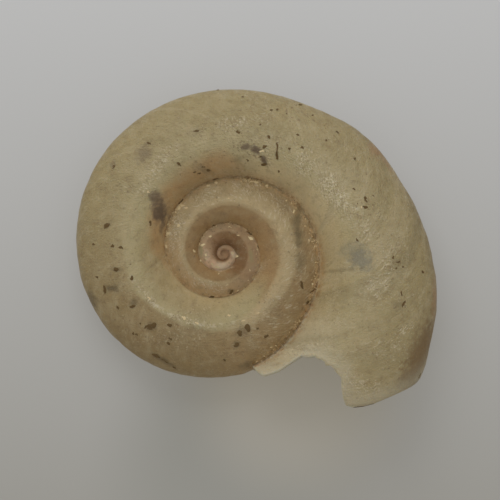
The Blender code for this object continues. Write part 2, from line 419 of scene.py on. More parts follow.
# %% Lay out the chart
chart = Chart()
around_at = [around(column) for column in range(LAST_COLUMN + 1)]
outside = {}
for column in range(LAST_COLUMN + 1):
    growths = np.maximum(leaning_growth(row_growth, lip_lean[column]), 0)
    radii, levels = section_point(growths, column)
    ridges, _ = ridge_at(growths, around_at[column])
    covered = UPPER_GRIP_COLUMN < column < LOWER_GRIP_COLUMN
    glued = column in (0, LAST_COLUMN)
    for row in range(first_bare_row if covered else 0, last_row + 1):
        if glued and row >= ROWS:
            continue
        relief = relief_at(column, growths[row])
        at_lip = min((last_row - row) / FADING_ROWS, 1.0)
        outside[row, column] = chart.point(
            growths[row], radii[row], levels[row], relief=relief * at_lip,
            line=growths[row] + whole_lean[column], around=around_at[column],
            near_lip=max(1 - (last_row - row) / WORN_ROWS, 0.0), ridge=ridges[row],
        )
for row in range(ROWS, last_row + 1):
    outside[row, 0] = outside[row - ROWS, UPPER_GRIP_COLUMN]
    outside[row, LAST_COLUMN] = outside[row - ROWS, LOWER_GRIP_COLUMN]
print("points on the outside:", len(chart.points))

# %% [markdown]
# ## Faces
#
# Four neighbouring points make a face. Each corner of a face also gets its place on
# the map of the shell, which the colours read later. In the middle of the nucleus a
# fan of small triangles closes the hole that the first row leaves.

# %% Faces of the outside
own_growth = np.empty((last_row + 1, LAST_COLUMN + 1))
own_past_ridge = np.empty_like(own_growth)
for column in range(LAST_COLUMN + 1):
    own_growth[:, column] = leaning_growth(row_growth, lip_lean[column])
    own_past_ridge[:, column] = ridge_at(own_growth[:, column], around_at[column])[1]


def map_at(row, column):
    """Marks of a corner: growth line, place round the section, growth, past the ridge."""
    growth = own_growth[row, column]
    return (growth + whole_lean[column], around_at[column], growth, own_past_ridge[row, column])


for row in range(last_row):
    for column in range(LAST_COLUMN):
        if UPPER_GRIP_COLUMN <= column < LOWER_GRIP_COLUMN and row < first_bare_row:
            continue
        places = ((row, column), (row + 1, column), (row + 1, column + 1), (row, column + 1))
        chart.face([outside[place] for place in places], [map_at(*place) for place in places])


def close_nucleus(suture_column, grip_column, upward):
    """A fan of faces over the tiny hole in the middle of the nucleus."""
    step = 1 if suture_column > grip_column else -1
    rim = [(row, suture_column) for row in range(ROWS + 1)]
    rim += [(0, column) for column in range(grip_column + step, suture_column, step)]
    level = section_point(np.array([0.0]), suture_column)[1, 0]
    centre = chart.point(0.0, 0.0, level)
    centre_map = (0.0, around_at[suture_column], 0.0, 0.0)
    for place, ahead in zip(rim, rim[1:] + rim[:1]):
        pair = (ahead, place) if upward else (place, ahead)
        corners = [centre, outside[pair[0]], outside[pair[1]]]
        chart.face(corners, [centre_map, map_at(*pair[0]), map_at(*pair[1])])


close_nucleus(0, UPPER_GRIP_COLUMN, upward=True)
close_nucleus(LAST_COLUMN, LOWER_GRIP_COLUMN, upward=False)
print("faces of the outside:", len(chart.faces))

# %% [markdown]
# ## The hollow and the lip
#
# The snail lived inside, so the tube is open at the mouth and hollow a long way in.
# A Solidify modifier would thicken the wall too, but it would not know that two
# whorls share one wall, so we lay the inner strip ourselves. It ends blind where no
# light reaches. Last, a rounded strip of faces closes the thickness of the lip.

# %% The hollow
LIP_BEVEL = 0.035
# The maps of the outside, the lip and the hollow lie side by side.
OUTSIDE_END, HOLLOW_MAP, BLIND_MAP = 1.02, 1.1, 1.5
hollow_steps = int((LIP_GROWTH - HOLLOW_START) * ROWS / HOLLOW_ROW_STEP)
hollow_rows = last_row - HOLLOW_ROW_STEP * np.arange(hollow_steps, -1, -1)
ring_map = HOLLOW_MAP + np.arange(RING_SIZE + 1) / RING_SIZE
hollow = np.empty((len(hollow_rows), RING_SIZE), dtype=int)
hollow_growth = np.empty((len(hollow_rows), RING_SIZE))
for place in range(RING_SIZE):
    lean = lip_lean[place] if place <= LAST_COLUMN else 0.0
    hollow_growth[:, place] = leaning_growth(row_growth[hollow_rows], lean)
    # The whole part of the lip is bevelled, so that its thickness shows from above.
    if place <= LAST_COLUMN and share_across(place)[0] > WHOLE_FROM:
        hollow_growth[-1, place] += LIP_BEVEL / (2 * math.pi * OUTER_EDGE[-1][1])
    radii, levels = hollow_point(hollow_growth[:, place], place)
    for k, growth in enumerate(hollow_growth[:, place]):
        hollow[k, place] = chart.point(growth, radii[k], levels[k])
for k in range(len(hollow_rows) - 1):
    for place in range(RING_SIZE):
        ahead = (place + 1) % RING_SIZE
        places = ((k, place), (k, ahead), (k + 1, ahead), (k + 1, place))
        maps = []
        for corner, shift in zip(places, (0, 1, 1, 0)):
            maps.append((hollow_growth[corner], ring_map[place + shift], hollow_growth[corner], 0.0))
        chart.face([hollow[corner] for corner in places], maps)

blind = [chart.points[index] for index in hollow[0]]
blind_end = chart.point(*np.mean(blind, axis=0)[:3])
for place in range(RING_SIZE):
    corners = [blind_end, hollow[0, (place + 1) % RING_SIZE], hollow[0, place]]
    chart.face(corners, [(HOLLOW_START, BLIND_MAP, HOLLOW_START, 0.0)] * 3)

print("points with the hollow:", len(chart.points))

# %% The edge of the mouth
mouth = [(last_row, column) for column in range(LAST_COLUMN + 1)]
mouth += [
    (first_bare_row, column) for column in range(LOWER_GRIP_COLUMN - 1, UPPER_GRIP_COLUMN, -1)
]
# The lip is rounded: its middle line stands a little proud of both edges.
LIP_ROUNDING = 0.008
# The lip's faces take the growth line of this much later, to differ from their whorl's.
LIP_LINE_AHEAD = 0.15
# Map place of the lip's own faces: pale where it is broken, dark where it is whole, and
# brown where the lining ends on the older whorl.
PALE_LIP, BROWN_LIP, DARK_LIP = 1.04, 1.06, 1.08
lip_middle = []
for place in range(RING_SIZE):
    outer_point = np.array(chart.points[outside[mouth[place]]])
    inner_point = np.array(chart.points[hollow[-1, place]])
    middle_point = (outer_point + inner_point) / 2
    if place <= LAST_COLUMN:
        middle_point[0] = inner_point[0] + LIP_ROUNDING / (2 * math.pi * middle_point[1])
    else:
        middle_point[0] = inner_point[0]
    lip_middle.append(chart.point(*middle_point[:3]))
for place in range(RING_SIZE):
    ahead = (place + 1) % RING_SIZE
    outer = (outside[mouth[place]], outside[mouth[ahead]])
    inner = (hollow[-1, place], hollow[-1, ahead])
    share, above = share_across(min(place, LAST_COLUMN))
    kind = DARK_LIP if above and share > WHOLE_FROM else PALE_LIP
    if place > LAST_COLUMN:
        kind = BROWN_LIP
    growth = hollow_growth[-1, place]
    lip_map = (growth + LIP_LINE_AHEAD, kind, growth, 0.0)
    chart.face([outer[0], lip_middle[place], lip_middle[ahead], outer[1]], [lip_map] * 4)
    chart.face([lip_middle[place], inner[0], inner[1], lip_middle[ahead]], [lip_map] * 4)
triangles = sum(len(face) - 2 for face in chart.faces)
print("the chart has", len(chart.points), "points and", triangles, "triangles")

# %% Make the chart a mesh
MAP_NAME = "ShellMap"
# Length of one whorl on the flat chart, in millimetres.
CHART_PITCH = 2.0


def add_object(name, data):
    """An object in the scene, for a mesh, a light or a camera."""
    thing = bpy.data.objects.new(name, data)
    bpy.context.scene.collection.objects.link(thing)
    return thing


skin_mesh = bpy.data.meshes.new("shell_skin")
chart_table = np.array(chart.points)
flat_places = [(CHART_PITCH * p[0] * MM, p[1] * MM, p[2] * MM) for p in chart.points]
skin_mesh.from_pydata(flat_places, [], [tuple(int(c) for c in face) for face in chart.faces])
chart_table[:, 1:3] *= MM
for name, values in zip(("growth", "radius", "level", *MARKS), chart_table.T):
    attribute = skin_mesh.attributes.new(name, "FLOAT", "POINT")
    attribute.data.foreach_set("value", values.astype(np.float32))
corner_table = np.array(chart.face_maps, dtype=np.float32)
surface_map = skin_mesh.uv_layers.new(name=MAP_NAME)
surface_map.data.foreach_set("uv", corner_table[:, :2].ravel())
for name, values in zip(CORNER_MARKS, corner_table[:, 2:].T):
    attribute = skin_mesh.attributes.new(name, "FLOAT", "CORNER")
    attribute.data.foreach_set("value", np.ascontiguousarray(values))
skin_mesh.shade_smooth()
skin = add_object("shell_skin", skin_mesh)
print("map corners:", len(chart.face_maps))

# %% [markdown]
# ## Winding and carving with Geometry Nodes
#
# The shell follows a rule, so Geometry Nodes wind it. A Screw modifier winds too, but
# can't widen by a table. The first half of the tree turns growth into an angle and
# lays each point at its own distance from the axis. The second half moves points
# along their normals: broad waves that follow the old lips, finer lines between them,
# and faint threads along the coil. The sizes are inputs of the tree, so they can be
# tried out on the modifier.

# %% Small helpers for node trees
class Nodes:
    """Adds nodes to one tree, called n below. A value is a number or a node's output."""

    def __init__(self, tree):
        self.tree = tree

    def node(self, kind, inputs=(), label="", **settings):
        """A node with its settings, and with values on inputs given by name or number."""
        node = self.tree.nodes.new(kind)
        node.label = label
        for name, value in settings.items():
            setattr(node, name, value)
        for name, value in dict(inputs).items():
            if isinstance(value, bpy.types.NodeSocket):
                self.tree.links.new(value, node.inputs[name])
            else:
                node.inputs[name].default_value = value
        return node

    def maths(self, operation, *values):
        """A Math node's result."""
        return self.node("ShaderNodeMath", enumerate(values), operation=operation).outputs[0]

    def product(self, first, *others):
        """All values multiplied."""
        for other in others:
            first = self.maths("MULTIPLY", first, other)
        return first

    def scaled(self, value, scale, shift):
        """A value times a scale, plus a shift."""
        return self.maths("MULTIPLY_ADD", value, scale, shift)

    def vector(self, operation, *values, **others):
        """A Vector Math node."""
        inputs = dict(enumerate(values)) | others
        return self.node("ShaderNodeVectorMath", inputs, operation=operation)

    def combine(self, *values):
        """A vector of up to three values."""
        return self.node("ShaderNodeCombineXYZ", enumerate(values)).outputs[0]

    def fade(self, value, low, high, kind="SMOOTHSTEP"):
        """0 at low, 1 at high, for a value in between; low may be the greater one."""
        inputs = enumerate((value, low, high))
        return self.node("ShaderNodeMapRange", inputs, interpolation_type=kind).outputs[0]

    def noise(self, place, scale, detail=2.0, roughness=0.5):
        """A Noise Texture's value."""
        return self.node("ShaderNodeTexNoise", {
            "Vector": place, "Scale": scale, "Detail": detail, "Roughness": roughness,
        }).outputs[0]

# %% Trees with named inputs
def new_tree(name, sizes):
    """A geometry tree with named inputs: its nodes, its inputs and its output node."""
    tree = bpy.data.node_groups.new(name, "GeometryNodeTree")
    tree.interface.new_socket("Geometry", in_out="INPUT", socket_type="NodeSocketGeometry")
    for size_name, (kind, value) in sizes.items():
        socket = tree.interface.new_socket(size_name, in_out="INPUT", socket_type=kind)
        if value is not None:
            socket.default_value = value
    tree.interface.new_socket("Geometry", in_out="OUTPUT", socket_type="NodeSocketGeometry")
    return Nodes(tree), tree.nodes.new("NodeGroupInput").outputs, tree.nodes.new("NodeGroupOutput")


def end_tree(n, geometry, material, result):
    """End a tree with real geometry in one material."""
    real = n.node("GeometryNodeRealizeInstances", {0: geometry}).outputs[0]
    dressed = n.node("GeometryNodeSetMaterial", {"Geometry": real, "Material": material})
    n.tree.links.new(dressed.outputs[0], result.inputs[0])
    return n.tree


def named_value(n, name):
    """A point attribute of the geometry."""
    node = n.node("GeometryNodeInputNamedAttribute", {"Name": name}, data_type="FLOAT")
    return node.outputs["Attribute"]


def apply_tree(thing, tree, sizes):
    """Run a tree on an object, with each size set by its socket, and keep a plain mesh."""
    modifier = thing.modifiers.new(tree.name, "NODES")
    modifier.node_group = tree
    sockets = {s.name: s.identifier for s in tree.interface.items_tree if s.in_out == "INPUT"}
    for name, value in sizes.items():
        modifier[sockets[name]] = value
    thing.update_tag()
    graph = bpy.context.evaluated_depsgraph_get()
    made = bpy.data.meshes.new_from_object(thing.evaluated_get(graph))
    thing.modifiers.clear()
    old = thing.data
    thing.data = made
    bpy.data.meshes.remove(old)
    made.name = thing.name
    return made


# %% The tree that winds and carves
WIND_SIZES = {
    "Axis X": ("NodeSocketFloat", AXIS[0] * MM),
    "Axis Y": ("NodeSocketFloat", AXIS[1] * MM),
    "Wave Height": ("NodeSocketFloat", 0.018 * MM),
    "Waves per Whorl": ("NodeSocketFloat", 34.0),
    "Line Height": ("NodeSocketFloat", 0.004 * MM),
    "Lines per Whorl": ("NodeSocketFloat", 110.0),
    "Thread Height": ("NodeSocketFloat", 0.002 * MM),
    "Threads": ("NodeSocketFloat", 30.0),
    "Wrinkle Height": ("NodeSocketFloat", 0.009 * MM),
    "Wrinkles per mm": ("NodeSocketFloat", 6.0),
    "Ridge Height": ("NodeSocketFloat", 0.02 * MM),
    "Seed": ("NodeSocketFloat", 4.0),
    "Material": ("NodeSocketMaterial", None),
}
# A noise seldom leaves its middle half, so the heights are doubled to come out in full.
NOISE_GAIN = 2.0


def ripple(n, along, across, per_turn, across_count, seed, detail=1.0):
    """Irregular ripples: noise that is fine along the growth and long across it."""
    place = n.combine(n.product(along, per_turn), n.product(across, across_count), seed)
    return n.maths("SUBTRACT", n.noise(place, 1.0, detail), 0.5)


def build_wind_tree():
    """The tree that winds the chart into a coil and carves its skin."""
    n, given, result = new_tree("wind_and_carve", WIND_SIZES)
    radius = named_value(n, "radius")
    angle = n.product(named_value(n, "growth"), 2 * math.pi)
    out_x = n.product(radius, n.maths("SINE", angle))
    out_y = n.product(radius, n.maths("COSINE", angle))
    place = n.combine(n.maths("SUBTRACT", given["Axis X"], out_x),
                      n.maths("SUBTRACT", given["Axis Y"], out_y), named_value(n, "level"))
    wound = n.node("GeometryNodeSetPosition", {
        "Geometry": given["Geometry"], "Position": place,
    }, "wind")
    line, across, seed = named_value(n, "line"), named_value(n, "around"), given["Seed"]
    wrinkle = n.node("ShaderNodeTexNoise", {
        "Vector": place, "W": seed, "Detail": 3.0, "Roughness": 0.6,
        "Scale": n.maths("DIVIDE", given["Wrinkles per mm"], MM),
    }, noise_dimensions="4D")
    height = 0.0
    for name, pattern in (
        ("Wave Height", ripple(n, line, across, given["Waves per Whorl"], 2.0, seed, 2.0)),
        ("Line Height", ripple(n, line, across, given["Lines per Whorl"], 4.0, seed)),
        ("Thread Height", ripple(n, across, line, given["Threads"], 6.0, seed)),
        ("Wrinkle Height", n.maths("SUBTRACT", wrinkle.outputs[0], 0.5)),
    ):
        height = n.scaled(pattern, given[name], height)
    height = n.product(height, named_value(n, "relief"), NOISE_GAIN)
    height = n.scaled(named_value(n, "ridge"), given["Ridge Height"], height)
    normal = n.node("GeometryNodeInputNormal").outputs[0]
    carved = n.node("GeometryNodeSetPosition", {
        "Geometry": wound.outputs[0], "Offset": n.vector("SCALE", normal, Scale=height).outputs[0],
    }, "carve")
    return end_tree(n, carved.outputs[0], given["Material"], result)


wind_tree = build_wind_tree()
print("the tree has", len(wind_tree.nodes), "nodes")

# %% [markdown]
# ## From the photograph to the shell
#
# Stains, grains and flakes of dirt sit where the photograph shows them. We name each
# place by its pixel, and this cell turns pixels into millimetres on the shell. The
# coil's axis is seen at one pixel and the scale follows from a shell 6 mm across.

# %% Pixels and millimetres
PIXELS_ACROSS = 500
MM_PER_PIXEL = 0.01657
AXIS_PIXEL = (224.0, 254.0)


def at_pixel(x, y):
    """Place in the shell's plan, in millimetres, of a pixel of the photograph."""
    return (
        AXIS[0] + (x - AXIS_PIXEL[0]) * MM_PER_PIXEL,
        AXIS[1] - (y - AXIS_PIXEL[1]) * MM_PER_PIXEL,
    )


VIEW_CENTRE = at_pixel(PIXELS_ACROSS / 2, PIXELS_ACROSS / 2)
print("the picture's middle lies at", [round(v, 3) for v in VIEW_CENTRE], "mm")

# %% [markdown]
# ## Horn: the colour of the shell
#
# The shell is thin lime under a horny skin, so light goes a little way into it. Its
# crest is cream. Towards the suture, where two walls lie together, it turns brown on
# a band that widens and narrows along the coil, and the oldest whorls are brown all
# over, with a chalky rim round the nucleus. We paint this with colour ramps that run
# round the section, and blend them along the growth. The map stored on the mesh
# carries both numbers, so the colours follow the shell wherever it turns.

# %% Colour ramps round the section
# Each stop is a place of around(), 0 upper suture, 0.22 crest, 0.5 edge, 1 lower
# suture, and a colour as it looks on a screen, from 0 to 255.
NUCLEUS_RAMP = (
    (0.0, 150, 108, 66), (0.1, 158, 118, 76), (0.225, 158, 120, 78), (0.255, 192, 158, 118),
    (0.42, 194, 160, 120), (1.0, 130, 96, 62),
)
YOUNG_RAMP = (
    (0.0, 190, 152, 100), (0.07, 186, 150, 101), (0.165, 180, 147, 100), (0.185, 202, 176, 131),
    (0.23, 208, 186, 142), (0.27, 195, 172, 129), (0.3, 195, 171, 126), (0.38, 204, 176, 128),
    (0.44, 198, 168, 120), (1.0, 140, 112, 72),
)
LAST_RAMP = (
    (0.0, 200, 176, 128), (0.06, 196, 176, 129), (0.16, 191, 176, 131), (0.23, 188, 172, 129),
    (0.29, 173, 156, 112), (0.4, 171, 153, 108), (0.5, 165, 147, 103), (0.62, 168, 150, 110),
    (0.8, 178, 162, 122), (1.0, 150, 122, 80),
)
# The young ramp has its step from flank to crest here and the nucleus ramp here, so
# that both steps stay on the ridge.
YOUNG_STEP = 0.21
NUCLEUS_STEP = 0.25
# Width of the brown band beside the suture of the last whorl, at growths from 3 to 4.
BAND_WIDTH = (
    (0.0, 0.0), (0.18, 0.0), (0.26, 0.1), (0.34, 0.14), (0.44, 0.15), (0.5, 0.17),
    (0.55, 0.04), (0.7, 0.035), (0.82, 0.03), (0.92, 0.0),
)
# Width of the pale band past the ridge, at growths from 2.66 to 3.36.
PALE_WIDTH = (
    (0.0, 0.08), (0.13, 0.077), (0.24, 0.06), (0.37, 0.05), (0.49, 0.03), (0.63, 0.015), (1.0, 0.0),
)
# How chalky the nucleus is, at growths from 0 to 2.
CHALK = ((0.0, 0.1), (0.34, 0.15), (0.4, 0.8), (0.46, 1.0), (0.56, 1.0), (0.62, 0.7), (0.74, 0.0))


def screen_colour(red, green, blue):
    """Linear colour of a colour given as it looks on a screen, 0 to 255."""
    channels = []
    for value in (red, green, blue):
        value /= 255
        channels.append(value / 12.92 if value <= 0.04045 else ((value + 0.055) / 1.055) ** 2.4)
    return (*channels, 1.0)


class Paints(Nodes):
    """Nodes of a material, with colours given as they look on a screen."""

    def ramp(self, factor, stops, label):
        """The colour that a Color Ramp node reads off its (place, colour) stops."""
        node = self.node("ShaderNodeValToRGB", {0: factor}, label)
        elements = node.color_ramp.elements
        while len(elements) < len(stops):
            elements.new(1.0)
        for element, (place, colour) in zip(elements, stops):
            element.position = place
            element.color = colour
        return node.outputs[0]

    def section_ramp(self, factor, stops, label):
        """A ramp round the section."""
        return self.ramp(factor, [(place, screen_colour(*rest)) for place, *rest in stops], label)

    def curve(self, value, low, high, stops, label):
        """A number read off a curve of (share of the way from low to high, number) stops."""
        greys = [(place, (number, number, number, 1.0)) for place, number in stops]
        return self.product(self.ramp(self.fade(value, low, high, "LINEAR"), greys, label), 1.0)

    def over(self, below, colour, *shares):
        """One colour laid over another, as thickly as its shares multiplied."""
        below, colour = (screen_colour(*c) if isinstance(c, tuple) else c for c in (below, colour))
        inputs = {0: self.product(*shares), 6: below, 7: colour}
        return self.node("ShaderNodeMix", inputs, data_type="RGBA").outputs[2]

    def mark(self, name):
        """A number that the points or corners of the mesh carry."""
        return self.node("ShaderNodeAttribute", attribute_name=name).outputs["Fac"]


print("ramps:", len(NUCLEUS_RAMP), len(YOUNG_RAMP), len(LAST_RAMP), "stops")

# %% [markdown]
# ## Stains
#
# Some marks have no thickness: grey-brown clouds where dirt has soaked in, and a
# bluish patch where the wall is thin. Some are painted light and shade: bright spots
# round the nucleus are partly chalk and partly painted glints, and brown on the steep
# wall by the mouth is painted shade over the horn's own brown. Each is a soft spot at
# a place in the plan, whose outline a noise pulls out of shape. One node group draws a
# spot, and a loop lays one spot for each row of a table. Two more tables say where the
# skin is rubbed and where it is dirty. An image would be less work, but it would fit
# one view only.

# %% Colours, as they look on a screen
BAND_BROWN = (194, 157, 107)
EDGE_BROWN = (152, 121, 74)
CHALK_WHITE = (214, 198, 160)
NUCLEUS_WHITE = (255, 216, 176)
NUCLEUS_CHALK_AND_GLINT = (255, 228, 192)
NUCLEUS_PINK = (214, 174, 134)
CRUST = (228, 194, 142)
FROST_WHITE = (236, 224, 194)
SUTURE_BROWN = (170, 126, 76)
WARM_TAN = (222, 172, 116)
FLANK_PAINTED_LIGHT = (236, 214, 166)
RIM_OLIVE = (146, 124, 78)
LIP_SHADE = (84, 66, 42)
OLIVE = (146, 132, 96)
CREAM = (196, 180, 142)
DULL_BROWN = (124, 98, 66)
LIP_CREAM = (198, 190, 164)
HOLLOW_COLOUR = (160, 142, 110)
PALE_OLIVE = (184, 172, 124)
GREY_BROWN = (108, 92, 60)
SOOT_GREY = (112, 92, 70)
DUSTY_GREY = (138, 120, 90)
BLUE_GREY = (140, 134, 114)
WALL_SHADE_BROWN = (134, 108, 68)
OLIVE_GREY = (136, 120, 84)
RUST = (172, 132, 92)
print("a screen's grey 128 is", round(screen_colour(128, 128, 128)[0], 3), "in linear light")

# %% The places of stains
# Each spot is its pixel x and y, half length and half width in pixels, turn in degrees
# and strength. Later stains lie over earlier ones.
STAINS = (
    # These three rows: chalk round the nucleus, partly painted glints where it catches the light.
    (NUCLEUS_CHALK_AND_GLINT, (221, 267, 9, 4, 5, 1.0), (207, 255, 7, 3, 100, 0.4)),
    (NUCLEUS_WHITE, (213, 263, 6, 3, -45, 0.5)),
    (NUCLEUS_CHALK_AND_GLINT, (234, 255, 4, 2.5, -50, 0.8)),
    (PALE_OLIVE, (251, 255, 8, 2.5, 95, 0.6), (201, 251, 6, 2.5, 95, 0.7)),
    (SOOT_GREY, (155, 197, 9, 6, 105, 0.75), (160, 212, 15, 9, 95, 0.95), (162, 227, 8, 3, 80, 0.5),
     (246, 148, 5, 4, 10, 0.8), (256, 151, 6, 4, -30, 0.9), (264, 161, 6, 3, -60, 0.9)),
    (GREY_BROWN, (238, 160, 6, 3, 20, 0.35)),
    (DUSTY_GREY, (144, 153, 11, 8, 40, 0.7), (113, 165, 5, 3, 60, 0.6)),
    (OLIVE_GREY, (297, 222, 12, 5, 75, 0.85), (299, 240, 12, 5, 85, 0.85)),
    (GREY_BROWN, (298, 232, 7, 3, 100, 0.45)),
    (OLIVE_GREY, (300, 262, 12, 6, 85, 0.6)),
    (DUSTY_GREY, (285, 205, 12, 5, 130, 0.3)),
    (BLUE_GREY, (352, 250, 14, 9, 10, 0.45), (361, 260, 12, 12, -20, 0.75)),
    (RUST, (434, 300, 26, 3, 88, 0.5), (384, 160, 16, 3, 125, 0.4), (374, 150, 10, 6, 120, 0.5)),
    (GREY_BROWN, (92, 300, 12, 5, 120, 0.6), (112, 288, 7, 4, 0, 0.75), (134, 303, 6, 4, 40, 0.6),
     (231, 291, 4, 3, 0, 0.6), (204, 170, 12, 4, -20, 0.4), (247, 365, 8, 4, 10, 0.5)),
    (DUSTY_GREY, (195, 133, 9, 5, 10, 0.3)),
    # Painted shade where the steep outer wall by the mouth turns away from the light, over the horn's
    # own brown.
    (WALL_SHADE_BROWN, (421, 350, 36, 13, 70, 0.95), (410, 373, 20, 11, 52, 0.8)),
    (GREY_BROWN, (152, 326, 8, 5, 16, 0.5), (244, 331, 9, 6, 130, 0.5), (237, 345, 5, 4, 60, 0.5),
     (162, 359, 14, 3, 150, 0.6), (107.7, 226, 5, 3, 40, 0.5), (116.6, 269.6, 5, 3, 174, 0.5)),
    (OLIVE_GREY, (342, 270, 22, 2, 6, 0.5), (395, 262, 6, 5, 0, 0.4), (397, 305, 7, 5, 50, 0.5)),
)
# Where specks and scratches have rubbed the skin pale, and where dots of dirt lie.
FROSTED = (
    (160, 165, 30, 9, 50, 0.9), (146, 188, 14, 7, 60, 0.8), (236, 124, 18, 10, 5, 0.8),
    (262, 118, 14, 8, 0, 0.6), (262, 157, 14, 9, -30, 0.6), (306, 165, 20, 16, -50, 0.8),
    (332, 192, 34, 16, -52, 1.0), (362, 228, 22, 10, -75, 0.7), (385, 262, 22, 10, 85, 0.7),
    (376, 288, 16, 18, 80, 0.7), (404, 328, 14, 6, 30, 0.9), (380, 345, 30, 12, 10, 0.5),
    (360, 385, 24, 12, -10, 0.7), (300, 350, 30, 7, 10, 0.7), (175, 232, 24, 7, 80, 1.0),
    (206, 196, 22, 8, 30, 0.8), (250, 190, 26, 8, -12, 0.8), (280, 205, 16, 8, -45, 0.8),
    (300, 262, 24, 7, 88, 0.6), (210, 285, 26, 7, -15, 0.7), (258, 272, 16, 5, 55, 0.6),
    (190, 320, 30, 4, -15, 0.8), (150, 298, 22, 4, -55, 0.8),
)
DIRTY = (
    (250, 150, 30, 18, 0, 1.0), (236, 126, 20, 8, 0, 0.7), (292, 112, 34, 12, -25, 0.6),
    (200, 132, 22, 8, 15, 0.6), (215, 168, 40, 8, 8, 0.6), (118, 268, 20, 22, 90, 0.6),
    (150, 330, 30, 16, -30, 0.6), (360, 205, 14, 16, 90, 0.6), (395, 262, 16, 20, 90, 0.7),
    (398, 300, 14, 10, 60, 0.8), (298, 235, 24, 7, 85, 0.7), (222, 230, 30, 5, 0, 0.7),
)
print(len(FROSTED), "rubbed patches and", len(DIRTY), "dirty ones")

# %% A node group that draws one spot
STAIN_INPUTS = ("X", "Y", "Half Length", "Half Width", "Turn", "Strength", "Ragged")
# A spot fades between these distances from its middle, in half sizes.
SPOT_END, SPOT_FULL = 1.35, 0.25


def build_stain_group():
    """One soft spot: its strength in the middle and 0 outside."""
    group = bpy.data.node_groups.new("stain", "ShaderNodeTree")
    group.interface.new_socket("Place", in_out="INPUT", socket_type="NodeSocketVector")
    for name in STAIN_INPUTS:
        group.interface.new_socket(name, in_out="INPUT", socket_type="NodeSocketFloat")
    group.interface.new_socket("Amount", in_out="OUTPUT", socket_type="NodeSocketFloat")
    n = Nodes(group)
    given = n.node("NodeGroupInput").outputs
    flat = n.vector("MULTIPLY", given["Place"], (1.0, 1.0, 0.0)).outputs[0]
    apart = n.vector("SUBTRACT", flat, n.combine(given["X"], given["Y"])).outputs[0]
    turned = n.node("ShaderNodeVectorRotate", {
        "Vector": apart, "Angle": n.product(given["Turn"], -1.0),
    }, rotation_type="Z_AXIS").outputs[0]
    size = n.combine(given["Half Length"], given["Half Width"], 1.0)
    distance = n.vector("LENGTH", n.vector("DIVIDE", turned, size).outputs[0]).outputs["Value"]
    spot = n.fade(n.maths("ADD", distance, given["Ragged"]), SPOT_END, SPOT_FULL)
    n.node("NodeGroupOutput", {0: n.product(spot, given["Strength"])})
    return group


stain_group = build_stain_group()
print(sum(len(spots) for colour, *spots in STAINS), "stains")


def spot_at(n, place, ragged, x, y, half_length, half_width, turn, strength):
    """One spot, from its measures in pixels and degrees."""
    plan_x, plan_y = at_pixel(x, y)
    return n.node("ShaderNodeGroup", {
        "Place": place, "X": plan_x, "Y": plan_y,
        "Half Length": half_length * MM_PER_PIXEL, "Half Width": half_width * MM_PER_PIXEL,
        "Turn": math.radians(turn), "Strength": strength, "Ragged": ragged,
    }, node_tree=stain_group).outputs[0]


def strongest(n, place, ragged, table):
    """The strongest of a table of spots, with a broad noise where there is none."""
    amount = n.product(n.fade(n.noise(place, 1.4, 3.0), 0.45, 0.65), 0.3)
    for spot in table:
        amount = n.maths("MAXIMUM", amount, spot_at(n, place, ragged, *spot))
    return amount


# %% [markdown]
# ## Painting the whorls
#
# On the real shell the colours change with its age: the skin of the youngest whorls
# is worn off, and the last whorl is olive near the mouth and brown in the sutures.
# So every patch below is bounded by growth and by the place round the section. A
# fade is a soft bound: 0 at its first number and 1 at its second.

# %% Broad colours
# A bound is about one of these, and fades from its first number to its second.
GROWTH, ACROSS = 0, 1
# Each patch is a colour, a strength and its bounds. These lie on the last whorl.
LAST_PATCHES = (
    (RIM_OLIVE, 0.6, (GROWTH, 3.55, 3.75), (ACROSS, 0.38, 0.47)),
    # Painted light: lifts the shade on the flank beside the suture towards the mouth.
    (FLANK_PAINTED_LIGHT, 0.6, (GROWTH, 3.48, 3.58), (GROWTH, 3.8, 3.68), (ACROSS, 0.2, 0.08)),
    # Painted shade: darkens the valley beside the suture at the start of the last whorl.
    (EDGE_BROWN, 0.3, (ACROSS, 0.03, 0.09), (ACROSS, 0.2, 0.13), (GROWTH, 2.98, 3.08),
     (GROWTH, 3.34, 3.26)),
    (RIM_OLIVE, 0.22, (GROWTH, 3.66, 3.76), (GROWTH, 3.92, 3.86), (ACROSS, 0.3, 0.2)),
)
# These lie over all whorls: a warm young slope, and cream behind the inner lip.
LATER_PATCHES = (
    (WARM_TAN, 0.4, (GROWTH, 2.35, 2.2), (ACROSS, 0.22, 0.28)),
    (LIP_CREAM, 0.55, (GROWTH, 3.8, 3.9), (ACROSS, 0.18, 0.08)),
)


def new_material(name):
    """A material with its nodes and its surface shader."""
    material = bpy.data.materials.new(name)
    material.use_nodes = True
    tree = material.node_tree
    return material, Paints(tree), tree.nodes["Principled BSDF"]


def place_in_mm(n):
    """Object coordinates in millimetres."""
    place = n.node("ShaderNodeTexCoord").outputs["Object"]
    return n.vector("SCALE", place, Scale=1 / MM).outputs[0]


def add_patches(n, colour, growth, across, patches):
    """Lay patches over a colour, each within its bounds."""
    values = (growth, across)
    for patch_colour, strength, *bounds in patches:
        fades = [n.fade(values[which], start, end) for which, start, end in bounds]
        colour = n.over(colour, patch_colour, *fades, strength)
    return colour


print(len(LAST_PATCHES) + len(LATER_PATCHES), "patches")

# %% Last whorl, nucleus and sutures
def paint_last(n, growth, across, wandering):
    """The last whorl, with the brown band beside its suture."""
    last = n.section_ramp(wandering, LAST_RAMP, "last whorl")
    width = n.curve(growth, 3.0, 4.0, BAND_WIDTH, "width of the brown band")
    band = n.fade(wandering, n.product(width, 1.25), n.product(width, 0.6))
    fainter_at_suture = n.scaled(n.fade(across, 0.0, 0.07), 0.35, 0.65)
    last = n.over(last, BAND_BROWN, band, n.fade(width, 0.0, 0.05), fainter_at_suture, 0.9)
    return add_patches(n, last, growth, across, LAST_PATCHES)


